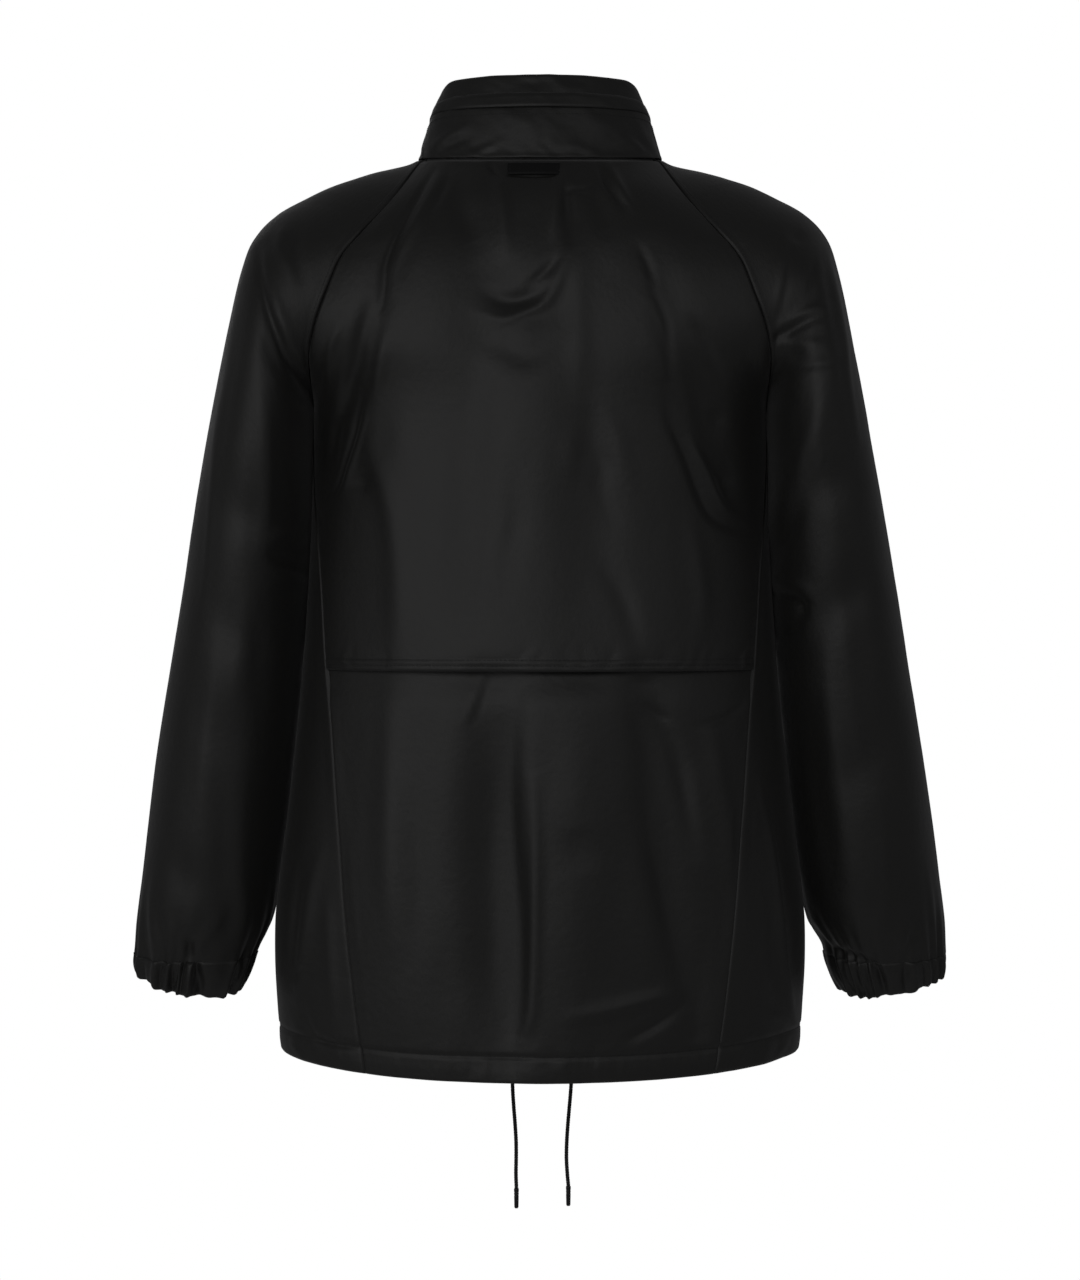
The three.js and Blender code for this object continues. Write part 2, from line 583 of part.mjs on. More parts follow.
function addBackCape() {
  const point = (u, at) => {
    const edge = inset((share) => capePoint(at, share), SEAM_GAP / 2);
    return capePoint(at, mix(-edge, edge, u));
  };
  clothWall('back_cape', point, { across: 20, rows: rowsPastSeam(rowOfHeight(CAPE_HEM_Z), 7) }, {});
}

function addBackLower() {
  const point = (u, at) => {
    const edge = inset((share) => lowerBackPoint(at, share), SEAM_GAP / 2);
    return lowerBackPoint(at, mix(-edge, edge, u));
  };
  const rows = [...spaced(rowOfHeight(LOWER_BACK_TOP_Z), CASING_TOP_ROW, 12), ...CASING_ROWS];
  clothWall('back_lower', point, { across: 20, rows }, { cloth: bodyCloth });
}

function addFront(name, sideSign) {
  const centre = ZIP.halfWidth + SEAM_GAP;
  const point = (u, at) => {
    const rowPoint = (share) => frontPoint(at, share, sideSign);
    const edge = inset(rowPoint, SEAM_GAP / 2);
    return rowPoint(mix(besideCentre(rowPoint, centre), edge, u));
  };
  const rows = [...rowsPastSeam(CASING_TOP_ROW, 13), ...CASING_ROWS];
  clothWall(name, point, { across: 12, rows }, { cloth: bodyCloth, facing: -sideSign });
}

function addSleeve(name, sideSign) {
  const point = (u, at) => {
    const rowPoint = (side) => sleevePoint(at, side, sideSign);
    const edge = inset(rowPoint, SEAM_GAP / 2);
    return rowPoint(mix(-edge, edge, u));
  };
  clothWall(name, point, { across: 24, rows: rowsPastSeam(SLEEVE_END, 13) }, { facing: -sideSign });
}

function addCuff(name, sideSign) {
  const point = (u, at) => {
    const row = tableAt(CUFF_ROWS, at);
    const angle = u * 2 * Math.PI;
    const wave = CUFF.wave * Math.cos(CUFF.gathers * angle);
    const halfWidth = (row.outerX - row.innerX) / 2 + wave;
    const halfDepth = row.halfDepth + wave;
    const tilt = (row.outerZ - row.innerZ) / 2;
    return new THREE.Vector3(
      sideSign * ((row.outerX + row.innerX) / 2 + halfWidth * Math.cos(angle)),
      halfDepth * Math.sin(angle) - ARM_FORWARD,
      (row.outerZ + row.innerZ) / 2 - CUFF.slot + tilt * Math.cos(angle) + row.leanZ * Math.sin(angle),
    );
  };
  const grid = { across: 80, rows: spaced(0, 1, 2) };
  clothWall(name, point, grid, { cloth: () => CUFF.cloth, facing: -sideSign, ring: true });
}

// A collar band from the right of the front zip round the back to its left.
function collarBand(name, from, to, lift, cloth, steps) {
  const gap = ZIP.halfWidth + SEAM_GAP;
  const point = (u, share) => {
    const ends = 180 - THREE.MathUtils.radToDeg(gap / collarPoint(90, share).x);
    const angle = mix(-ends, ends, u);
    const place = collarPoint(angle, share);
    const out = new THREE.Vector2(Math.sin(radians(angle)), Math.cos(radians(angle)));
    return place.add(new THREE.Vector3(out.x * lift, out.y * lift, 0));
  };
  const grid = { across: 32, rows: spaced(from, to, steps) };
  clothWall(name, point, grid, { cloth: () => cloth, facing: -1 });
}

function addCollar() {
  const gap = SEAM_GAP / COLLAR_HEIGHT;
  collarBand('collar_stand', gap / 2, COLLAR_SPLIT - gap / 2, 0, CLOTH, 4);
  collarBand('collar_top', COLLAR_SPLIT + gap / 2, 1, 0, COLLAR_TOP_CLOTH, 3);
  collarBand('collar_welt', WELT.from, WELT.to, WELT.lift, WELT.cloth, 2);
}

// The closed zip down the front: a narrow strip in the line of the collar and the fronts.
function addZip() {
  const point = (u, at) => {
    const place = at < 0 ? collarPoint(180, -at) : frontPoint(at, 0, 1);
    return new THREE.Vector3(mix(-ZIP.halfWidth, ZIP.halfWidth, u), place.y, place.z);
  };
  const grid = { across: 2, rows: [...spaced(-1, 0, 7), ...rowsPastSeam(2, 14).slice(1)] };
  clothWall('zip_front', point, grid, { cloth: () => ZIP.cloth, facing: -1, colour: TRIM_COLOUR });
}

function addHangerLoop() {
  const point = (u, at) => {
    const share = besideCentre((near) => backPoint(at, near), mix(-LOOP.halfWidth, LOOP.halfWidth, u));
    const arch = Math.sin(Math.PI * u) ** LOOP.archPower;
    return moveOut(backPoint(at, share), LOOP.cloth + SEAM_GAP + LOOP.lift * arch);
  };
  const grid = { across: 10, rows: spaced(LOOP.fromRow, LOOP.toRow, 2) };
  clothWall('hanger_loop', point, grid, { cloth: () => LOOP.cloth, colour: TRIM_COLOUR });
}

// Closed geometries joined into one solid.
function joined(...geometries) {
  const solids = geometries.map((geometry) => {
    const bare = geometry.clone();
    bare.deleteAttribute('normal');
    bare.deleteAttribute('uv');
    const merged = mergeVertices(bare, 1e-4);
    return new wasm.Manifold(new wasm.Mesh({
      numProp: 3,
      vertProperties: merged.attributes.position.array,
      triVerts: new Uint32Array(merged.index.array),
    }));
  });
  const whole = solids.reduce((sum, solid) => sum.add(solid)).getMesh();
  const geometry = new THREE.BufferGeometry();
  geometry.setAttribute('position', new THREE.BufferAttribute(whole.vertProperties, 3));
  geometry.setIndex(Array.from(whole.triVerts));
  geometry.computeVertexNormals();
  return geometry;
}

// The slider lies on the zip near the collar's top and carries the pull tab's pin.
function addSlider() {
  const zip = collarPoint(180, SLIDER.collarShare);
  const lower = collarPoint(180, SLIDER.collarShare - NEAR_CENTRE);
  const lean = Math.atan2(zip.y - lower.y, zip.z - lower.z);
  const seat = new THREE.Group();
  seat.position.copy(zip);
  seat.rotation.x = -lean;
  jacket.add(seat);
  addSliderBody(seat);
  addPull(seat);
}

// An outline given across and up, as a flat solid that starts at y = back and faces out along -Y.
function flatPiece(outline, back, thickness) {
  const options = { depth: thickness, bevelEnabled: false, curveSegments: 5 };
  const geometry = new THREE.ExtrudeGeometry(outline, options);
  return geometry.rotateX(Math.PI / 2).translate(0, back, 0);
}

// An outline given down and back, as a solid that spans from one X to another.
function sidePiece(outline, fromX, toX) {
  const options = { depth: toX - fromX, bevelEnabled: false, curveSegments: 5 };
  const geometry = new THREE.ExtrudeGeometry(outline, options);
  return geometry.rotateY(Math.PI / 2).translate(fromX, 0, 0);
}

// A rectangle centred across, with cut corners.
function cutRectangle(halfWidth, top, bottom, cut) {
  return new THREE.Shape([
    new THREE.Vector2(-halfWidth, bottom + cut),
    new THREE.Vector2(-halfWidth + cut, bottom),
    new THREE.Vector2(halfWidth - cut, bottom),
    new THREE.Vector2(halfWidth, bottom + cut),
    new THREE.Vector2(halfWidth, top - cut),
    new THREE.Vector2(halfWidth - cut, top),
    new THREE.Vector2(-halfWidth + cut, top),
    new THREE.Vector2(-halfWidth, top - cut),
  ]);
}

// The slider's plate with two ears, and the pin that the pull tab turns on.
function addSliderBody(seat) {
  const front = -SEAM_GAP - SLIDER.plate;
  const half = SLIDER.height / 2;
  const outline = cutRectangle(SLIDER.width / 2, half, -half, SLIDER.cut);
  const plate = flatPiece(outline, -SEAM_GAP, SLIDER.plate);
  const ear = new THREE.Shape();
  ear.moveTo(-EAR.radius, front + EAR.sunk);
  ear.lineTo(-EAR.radius, -PIN.out);
  ear.absarc(0, -PIN.out, EAR.radius, Math.PI, 2 * Math.PI, false);
  ear.lineTo(EAR.radius, front + EAR.sunk);
  ear.closePath();
  const outside = EAR.inside + EAR.width;
  const leftEar = sidePiece(ear, EAR.inside, outside);
  const rightEar = sidePiece(ear, -outside, -EAR.inside);
  const pin = new THREE.CylinderGeometry(PIN.radius, PIN.radius, 2 * (outside - PIN.short), 10);
  pin.rotateZ(Math.PI / 2).translate(0, -PIN.out, 0);
  addMesh('zip_slider', joined(plate, leftEar, rightEar, pin), METAL_COLOUR, seat);
}

// The pull tab hangs from the pin by a bored neck and widens to a flat blade.
function addPull(seat) {
  const half = PULL.thickness / 2;
  const eyeAngle = Math.asin(half / PULL_NECK.eyeRadius);
  const neckEnd = PULL_NECK.shoulder + PULL_NECK.sunk;
  const neck = new THREE.Shape();
  neck.absarc(0, -PIN.out, PULL_NECK.eyeRadius, eyeAngle, -eyeAngle, false);
  neck.lineTo(neckEnd, -PIN.out - half);
  neck.lineTo(neckEnd, -PIN.out + half);
  neck.closePath();
  neck.holes.push(roundHole(-PIN.out));
  const blade = cutRectangle(PULL.width / 2, -PULL_NECK.shoulder, -PULL.length, PULL.cut);
  blade.holes.push(roundHole(-PULL.length + PULL.holeUp));
  const geometry = joined(
    sidePiece(neck, -PULL_NECK.width / 2, PULL_NECK.width / 2),
    flatPiece(blade, -PIN.out + half, PULL.thickness),
  );
  addMesh('zip_pull', geometry, METAL_COLOUR, seat);
}

// A round hole of the pin's bore, centred at a height in an outline.
function roundHole(height) {
  return new THREE.Path().absarc(0, height, PULL_NECK.boreRadius, 0, 2 * Math.PI, true);
}

// A drawcord end: a tube down from the casing and its tip.
function addCord(side) {
  const exitX = CORD_EXIT_X[side];
  const hemPoint = (share) => frontPoint(2, share, Math.sign(exitX));
  const hem = hemPoint(besideCentre(hemPoint, Math.abs(exitX)));
  const exit = new THREE.Vector3(exitX, hem.y + HEM_CLOTH / 2, hem.z - SEAM_GAP);
  const route = CORD_ROUTES[side].map((p) => new THREE.Vector3(p.x, p.y, p.z).add(exit));
  const section = new THREE.Shape();
  for (let i = 0; i < CORD.sides; i += 1) {
    const angle = i * 2 * Math.PI / CORD.sides;
    const x = CORD.radius * Math.cos(angle);
    const y = CORD.radius * Math.sin(angle);
    if (i === 0) section.moveTo(x, y);
    else section.lineTo(x, y);
  }
  section.closePath();
  const extrudePath = new THREE.CatmullRomCurve3(route);
  const options = { steps: CORD.steps, extrudePath, bevelEnabled: false };
  const tube = new THREE.ExtrudeGeometry(section, options);
  addMesh(`cord_${side}`, tube, TRIM_COLOUR);
  const end = route[route.length - 1];
  const tipEnd = CORD.tipRadius * CORD.tipNarrowing;
  const tip = new THREE.CylinderGeometry(CORD.tipRadius, tipEnd, CORD.tipLength, 12);
  tip.rotateX(Math.PI / 2);
  const mesh = addMesh(`tip_${side}`, tip, TRIM_COLOUR);
  mesh.position.set(end.x, end.y, end.z - SEAM_GAP - CORD.tipLength / 2);
}

addBackCape();
addBackLower();
addFront('front_left', 1);
addFront('front_right', -1);
addSleeve('sleeve_left', 1);
addSleeve('sleeve_right', -1);
addCuff('cuff_left', 1);
addCuff('cuff_right', -1);
addCollar();
addZip();
addHangerLoop();
addSlider();
addCord('left');
addCord('right');

export default jacket;
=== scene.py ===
"""A black woven windbreaker jacket, seen from the back and filled out as if worn.

Metres, +Z up. The wearer faces -Y and +X is the wearer's left. Tables of the garment are in millimetres.
"""

import json

import bpy
import numpy as np
from mathutils import Matrix, Vector

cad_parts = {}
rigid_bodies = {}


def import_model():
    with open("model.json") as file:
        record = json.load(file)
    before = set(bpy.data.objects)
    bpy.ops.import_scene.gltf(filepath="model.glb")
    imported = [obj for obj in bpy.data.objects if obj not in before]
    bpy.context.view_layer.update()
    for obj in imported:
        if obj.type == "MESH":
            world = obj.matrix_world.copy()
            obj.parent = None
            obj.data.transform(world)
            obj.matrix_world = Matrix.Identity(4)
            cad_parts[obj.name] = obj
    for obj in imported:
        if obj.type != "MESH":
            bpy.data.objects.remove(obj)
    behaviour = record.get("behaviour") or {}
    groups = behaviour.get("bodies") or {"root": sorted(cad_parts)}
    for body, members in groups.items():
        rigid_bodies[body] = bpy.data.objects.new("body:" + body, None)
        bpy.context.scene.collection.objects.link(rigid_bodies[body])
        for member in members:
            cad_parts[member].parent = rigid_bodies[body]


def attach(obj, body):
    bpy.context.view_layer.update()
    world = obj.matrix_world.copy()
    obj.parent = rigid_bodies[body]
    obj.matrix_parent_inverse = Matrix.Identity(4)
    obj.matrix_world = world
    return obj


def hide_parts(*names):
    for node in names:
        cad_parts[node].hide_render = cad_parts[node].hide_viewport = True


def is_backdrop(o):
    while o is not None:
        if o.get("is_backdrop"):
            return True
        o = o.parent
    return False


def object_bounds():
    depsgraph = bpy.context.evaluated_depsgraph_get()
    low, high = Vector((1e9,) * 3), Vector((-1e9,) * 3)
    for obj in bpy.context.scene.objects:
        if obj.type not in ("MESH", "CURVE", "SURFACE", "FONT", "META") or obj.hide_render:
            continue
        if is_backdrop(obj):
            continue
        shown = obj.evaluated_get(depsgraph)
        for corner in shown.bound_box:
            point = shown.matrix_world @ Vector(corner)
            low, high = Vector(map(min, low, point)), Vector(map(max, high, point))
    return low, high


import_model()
cad_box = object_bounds()

MM = 0.001

# Cloth and seams
CLOTH = 0.9
HEM_CLOTH = 2.0
FOLDED_CLOTH = 1.8
CUFF_CLOTH = 1.2
WELT_CLOTH = 1.0
ZIP_CLOTH = 1.2
SEAM_GAP = 0.3
LAYER_GAP = 1.1
LOOSE_FROM_SEAM = 12

# Seam allowances: one panel's edge drops and runs on under its neighbour.
TUCK = 3.2
TUCK_DROP = 2.1
TUCK_STEP = 0.25

# Stitches. A ring is its place along the stitch, its share of the width and its height.
STITCH_LENGTH = 2.3
STITCH_GAP = 0.9
STITCH_WIDTH = 0.5
STITCH_HEIGHT = 0.3
STITCH_SINK = 0.05
STITCH_LIFT = 0.1
STITCH_RINGS = ((0, 0.25, -0.05), (0.18, 1, 0), (0.82, 1, 0), (1, 0.25, -0.05))

# How far from its edge each row of stitches lies
TOPSTITCH_AT = 4.4
CAPE_HEM_STITCHES_AT = (4.5, 9.0)
STAND_STITCHES_AT = 9.5
LOOP_STITCHES_AT = 2.2

# Grid steps of each panel: down to the underarm level and below it, or all the way down, and then across
CAPE_STEPS = (92, 100, 186)
FRONT_STEPS = (66, 150, 96)
SLEEVE_STEPS = (86, 172, (62, 92))
LOWER_BACK_STEPS = (170, 156)
CUFF_STEPS = (18, 300)
COLLAR_STEPS_ACROSS = 224

# The neck seam, an ellipse seen from above, and where the raglan seams meet it
NECK_HALF_WIDTH = 97
NECK_HALF_DEPTH = 70.5
NECK_MIDDLE_Y = -4.5
NECK_BACK_Z = -11
NECK_FRONT_Z = -62
NECK_BACK_SEAM = (73.5, -3)
NECK_FRONT_SEAM = (124.4, -24)

# The body below the underarms
UNDERARM_Z = -204
HEM_Z = -716
UNDERARM_EASE = 24
BODY_LENGTH = UNDERARM_Z - HEM_Z
BODY_MIDDLE_Y = 2
HEM_BACK_DIP = 5.5
HEM_SIDE_RISE = 5
CASING_HEIGHT = 20

# The back yoke flap and the lower back under it
CAPE_HEM_Z = -409
CAPE_LIFT = 6
CAPE_LIFT_FROM_Z = -290
LOWER_BACK_TOP_Z = -345
UNDER_CAPE_DIP = 3
UNDER_CAPE_DIP_X = 10
UNDER_CAPE_DIP_HALF_WIDTH = 80
UNDER_CAPE_DIP_HALF_HEIGHT = 18

# Collar, zip and small pieces
COLLAR_TOP_HALF_WIDTH = 80
COLLAR_TOP_HALF_DEPTH = 55
COLLAR_TOP_MIDDLE_Y = -1
COLLAR_TOP_BACK_Z = 57
COLLAR_TOP_FRONT_Z = 2
COLLAR_BULGE = 2.2
COLLAR_HEIGHT = 64
COLLAR_SPLIT = 0.66
WELT_FROM = 0.6
WELT_TO = 0.78
WELT_LIFT = 2.3
ZIP_HALF_WIDTH = 4
LOOP_HALF_WIDTH = 20
LOOP_ROWS = (0.022, 0.085)
LOOP_MIDDLE_X = 5
LOOP_CLOTH = 1
LOOP_LIFT = 1.9
ARM_FORWARD = 20
ARM_FORWARD_FROM = 1.05
NECK_EASE_TO = 0.4
SLEEVE_END = 2.2
CUFF_DROP = 0.4
CUFF_RUFFLE = 2.4
CUFF_RUFFLE_COUNT = 24
NECK_EDGE_ROW = 0.004
NECK_TUCK_ROWS = (-0.022, 0.001)

# Zip teeth: the spacing of one side's row, the bare lengths at the top and the bottom, and a tooth's size
TEETH_PITCH = 2.6
TEETH_ENDS = (3, 6)
TOOTH_HALF_WIDTH = 1.55
TOOTH_HALF_HEIGHT = 0.48
TOOTH_DEPTH = 1.1
TOOTH_SHIFT = 0.75


def table(names, *rows):
    """A table with named columns, as arrays."""
    values = np.array(rows, dtype=float)
    return {name: values[:, i] for i, name in enumerate(names.split())}


# The body above the underarms: row 0 is the neck seam and row 1 the underarm level.
UPPER_ROWS = table(
    "at backY backZ backTurn frontY frontZ frontTurn",
    (0.0, 66, -11, 73.5, -75, -62, 55.6),
    (0.15, 84, -36, 62, -88, -78, 54),
    (0.3, 96, -66, 56, -98, -97, 55),
    (0.45, 104, -92, 57, -105, -115, 57),
    (0.6, 109, -120, 62, -110.5, -135, 62),
    (0.75, 112, -149, 70, -114.5, -158, 70),
    (0.87, 113.5, -174, 78, -117, -178, 78),
    (1.0, 114.5, -204, 90, -118.5, -204, 90),
)

# The body below the underarms, by height
LOWER_ROWS = table(
    "at halfWidth back front sideSeam",
    (-204, 180.5, 112.5, 120.5, 90),
    (-260, 181, 113.5, 121.5, 81),
    (-330, 183.5, 115, 122.5, 70.6),
    (-400, 188.5, 117, 123, 63),
    (-450, 193, 118.5, 123, 57.5),
    (-530, 202, 121, 122.5, 50.6),
    (-600, 210.5, 122.6, 121.4, 45.4),
    (-640, 211.5, 123.2, 120.8, 43.4),
    (-680, 209.5, 124, 120, 42),
    (-716, 206.5, 123.5, 118, 40.5),
)

# The sleeve's rows, from the neck seam (0) past the underarm (1) to the cuff (2.2)
SLEEVE_ROWS = table(
    "at outerX outerZ innerX innerY innerZ halfDepth leanX leanZ turn",
    (0.0, 97, 0, 86.5, -14.4, -13.5, 39, 8.5, 13.7, 50),
    (0.15, 127, -7.4, 107, -3, -43, 69, 6, 8, 58),
    (0.3, 156, -21.2, 130, 2, -74, 83.2, 6, 7.5, 66),
    (0.45, 184, -34.2, 149.5, 3, -96, 85, 4, 6, 78),
    (0.6, 210, -47.6, 163, 3, -122, 86.5, 2, 4, 93),
    (0.75, 228, -67.6, 173.5, 2.5, -149.5, 88, 1.8, 3, 113),
    (0.87, 237, -94, 178.6, 2, -174, 91, 1.5, 3, 135),
    (1.0, 247.7, -140, 180.5, 2, -204, 93, 0, 2, 180),
    (1.1, 255.5, -178, 182.4, 2, -236, 91, 0, 1, 180),
    (1.2, 263, -215, 182.8, 2, -264, 88, 0, 0, 180),
    (1.32, 271, -258, 183.5, 1, -298, 84, 0, 0, 180),
    (1.46, 280, -312, 185.4, 0, -340, 80, 0, 0, 180),
    (1.6, 289.5, -370, 188.8, -1, -390, 77, 0, 0, 180),
    (1.75, 301, -440, 194, -1, -450, 74, 0, 0, 180),
    (1.9, 312, -512, 201.4, -1, -516, 70, 0, 0, 180),
    (2.02, 320, -570, 208.2, 0, -570, 65, 0, 0, 180),
    (2.12, 325, -610, 215.5, 0, -608, 57, 0, -2, 180),
    (2.2, 326.5, -637, 230, 0, -638, 45, 0, -6, 180),
)
CUFF_ROWS = table(
    "at outerX outerZ innerX innerZ halfDepth leanZ",
    (0, 326.5, -637.6, 230.2, -638.8, 44.6, -6),
    (0.5, 326, -646, 236, -653, 39, -7),
    (1, 324.5, -653, 243, -667, 36, -8),
)

# Main folds, seen from the back or the front: a bent line, its width, and a negative depth for a trough
FOLD_COLUMNS = "startX startZ bendX bendZ endX endZ width depth"
FOLD_POINTS = 25
CREASE_POINTS = 6
BACK_FOLDS = table(
    FOLD_COLUMNS,
    (98, -42, 118, -95, 158, -240, 12, -5),
    (-88, -90, -122, -170, -156, -292, 14, -5),
    (58, -70, 10, -175, -46, -110, 22, -4),
    (46, -110, 60, -250, 52, -370, 20, -4),
    (-30, -150, -48, -270, -36, -390, 24, -4.5),
    (108, -170, 112, -290, 96, -395, 24, 4),
    (37, -424, 50, -560, 28, -700, 19, -12),
    (-80, -424, -94, -560, -126, -680, 17, -11),
    (108, -424, 116, -560, 98, -690, 24, 5),
    (-24, -440, -34, -560, -22, -690, 26, 4),
)
FRONT_FOLDS = table(
    FOLD_COLUMNS,
    (86, -110, 104, -190, 150, -300, 13, -3.2),
    (-80, -120, -112, -200, -148, -320, 14, -3),
    (60, -250, 72, -440, 58, -690, 20, -3.6),
    (-70, -220, -58, -420, -84, -690, 22, -4),
    (118, -380, 128, -540, 112, -690, 22, 3),
    (-126, -400, -120, -540, -136, -680, 20, 2.6),
)
LEFT_SLEEVE_FOLDS = table(
    FOLD_COLUMNS,
    (216, -70, 214, -130, 196, -190, 14, -3.6),
    (262, -250, 232, -300, 206, -292, 19, -3.2),
    (272, -330, 240, -400, 208, -380, 22, -3),
    (268, -420, 250, -470, 222, -470, 20, -2.4),
    (300, -545, 272, -590, 240, -570, 19, -2.6),
)
RIGHT_SLEEVE_FOLDS = table(
    FOLD_COLUMNS,
    (222, -118, 196, -128, 184, -176, 14, -3.8),
    (252, -232, 228, -276, 208, -262, 19, -3),
    (266, -336, 226, -348, 208, -392, 18, -4),
    (284, -430, 262, -500, 224, -492, 22, -2.6),
    (306, -560, 286, -606, 250, -588, 18, -3),
)

# Finer creases: width, depth (negative for a trough) and places along each, in X and Z
CAPE_CREASES = (
    (3.6, -2, (-12, -93), (-4, -104), (9, -115)),
    (4.5, 1.6, (-27, -72), (-20, -96), (-5, -126), (12, -135), (29, -141), (47, -135)),
    (6, -2.2, (-5, -114), (11, -124), (27, -126), (42, -119)),
    (12, -2, (54, -152), (31, -160), (8, -168), (-15, -152)),
    (3.5, 2.2, (-15, -18), (-12, -49), (-10, -76)),
    (4, -2.8, (-19, -30), (-21, -53), (-22, -80)),
    (2.6, -1.2, (-19, -38), (-31, -38), (-40, -34), (-44, -23)),
    (2.8, -2.8, (-46, -16), (-52, -32), (-63, -51)),
    (4, 2, (-55, -18), (-61, -35), (-72, -54)),
    (9, 1.8, (-31, -87), (-29, -141), (-31, -202)),
    (3.5, -1.6, (-76, -83), (-83, -99), (-88, -116)),
    (3.5, -1.5, (-84, -114), (-95, -137), (-99, -156), (-101, -188)),
    (5, -1.8, (-117, -141), (-126, -158), (-138, -181)),
    (5, -1.4, (-86, -135), (-98, -171), (-110, -218)),
    (5, -2.8, (-96, -191), (-101, -217), (-112, -240), (-127, -278), (-138, -292), (-158, -298)),
    (4, 2, (-115, -233), (-122, -245), (-132, -263), (-139, -278), (-148, -288), (-159, -292)),
    (8, -1.2, (-144, -254), (-143, -272)),
    (7, -1, (-138, -206), (-138, -221)),
    (7, -1.5, (-37, -213), (-39, -237), (-46, -252), (-47, -272), (-55, -294)),
    (7, 1.3, (-46, -202), (-58, -226), (-63, -245), (-70, -268)),
    (6, 1, (-23, -225), (-23, -263)),
    (9, -1.5, (21, -256), (18, -294), (24, -321), (31, -355)),
    (8, -2, (-46, -324), (-60, -347), (-69, -370), (-76, -401)),
    (7, 1.3, (-115, -291), (-121, -324), (-125, -355), (-121, -386)),
    (3, -2.2, (83, -18), (93, -38), (104, -60), (114, -83), (119, -100), (120, -117), (122, -133)),
    (4.5, 1.8, (76, -26), (86, -47), (98, -70), (109, -96), (112, -118)),
    (5.5, -2.8, (131, -130), (138, -156), (141, -171), (147, -188), (153, -204)),
    (4, 1.6, (155, -145), (162, -164), (167, -191)),
    (4.5, 1.6, (119, -153), (123, -179), (127, -205)),
    (6, -2.2, (145, -191), (158, -217), (163, -239), (164, -259)),
    (2.6, -1.4, (136, -193), (144, -223), (153, -248), (159, -266), (168, -278)),
    (2.6, 1, (132, -199), (139, -226), (148, -251), (155, -269)),
    (9, 1.8, (128, -187), (131, -233), (123, -260), (115, -285), (110, -324), (109, -370), (111, -397)),
    (9, -1.4, (138, -256), (139, -272)),
    (4, -2, (72, -22), (79, -41), (88, -60)),
    (10, -2.6, (66, -22), (62, -48), (52, -80)),
    (5, 2.2, (33, -22), (29, -50), (26, -90)),
    (8, -2.2, (-38, -24), (-44, -45), (-50, -70)),
    (1.5, -1.6, (28, -12.4), (5, -13), (-18, -12.4)),
    (1.8, -2.2, (28, -26), (5, -26.6), (-18, -26)),
    (2.2, -2.4, (30, -31), (36, -22), (41, -13)),
)
LOWER_CREASES = (
    (2.6, 0.9, (42, -412), (48, -428), (57, -452)),
    (2.6, -0.9, (38, -413), (44, -430), (52, -452)),
    (10, -5.5, (20, -431), (24, -492), (22, -553), (18, -613), (18, -682)),
    (5, 2.6, (5, -492), (4, -553), (5, -613), (7, -666), (14, -689)),
    (2.5, -1.4, (-78, -433), (-85, -440), (-99, -447)),
    (8, -4, (-83, -420), (-103, -470), (-112, -507), (-119, -545)),
    (8, 2, (-131, -450), (-138, -499), (-148, -557), (-160, -613)),
    (9, 1.5, (-68, -454), (-83, -507), (-93, -560)),
    (2.6, -1.4, (-121, -452), (-142, -446), (-158, -436)),
    (14, -1.5, (-27, -526), (-34, -564)),
    (6, 1.6, (-23, -671), (-53, -666), (-83, -659), (-106, -654)),
    (4, -1.8, (-67, -689), (-87, -679), (-109, -665)),
    (10, 1.8, (114, -424), (115, -492), (115, -553), (112, -613)),
    (9, -1.2, (95, -507), (91, -568), (93, -628)),
)
FRONT_CREASES = (
    (7, -2.0, (96, -120), (116, -200), (158, -262)),
    (7, -1.8, (-92, -128), (-120, -208), (-160, -280)),
    (10, 1.6, (24, -120), (34, -240), (22, -420)),
    (10, -1.4, (-30, -140), (-22, -260), (-34, -440)),
    (9, 1.6, (92, -420), (102, -540), (88, -680)),
    (9, -1.6, (-100, -440), (-94, -560), (-108, -690)),
    (10, -2.2, (160, -320), (172, -480), (164, -660)),
    (10, -2.0, (-164, -330), (-172, -480), (-166, -650)),
    (4, -1.8, (60, -84), (66, -120), (84, -150)),
    (4, 1.4, (-52, -82), (-62, -124), (-58, -170)),
    (4, -1.6, (30, -690), (48, -660), (50, -620)),
    (4, -1.6, (-36, -690), (-58, -668), (-74, -650)),
)
LEFT_SIDE_CREASES = (
    (5, 1.6, (170, -549), (178, -580), (184, -619), (190, -666)),
    (4, -1.8, (187, -565), (192, -612), (196, -658)),
    (3.5, -1.6, (192, -647), (184, -644), (174, -646)),
    (3, -1.8, (184, -675), (178, -689), (169, -696), (154, -698), (139, -696)),
    (5, 1.4, (164, -588), (162, -635), (159, -682)),
)
RIGHT_SIDE_CREASES = (
    (3, 1.5, (171, -495), (183, -549), (189, -619), (196, -666), (202, -691)),
    (5, -1.8, (179, -510), (192, -573), (200, -635), (204, -674)),
    (3.5, 1.5, (176, -673), (187, -680), (202, -690)),
    (4, -1.4, (179, -588), (182, -635), (187, -674)),
)
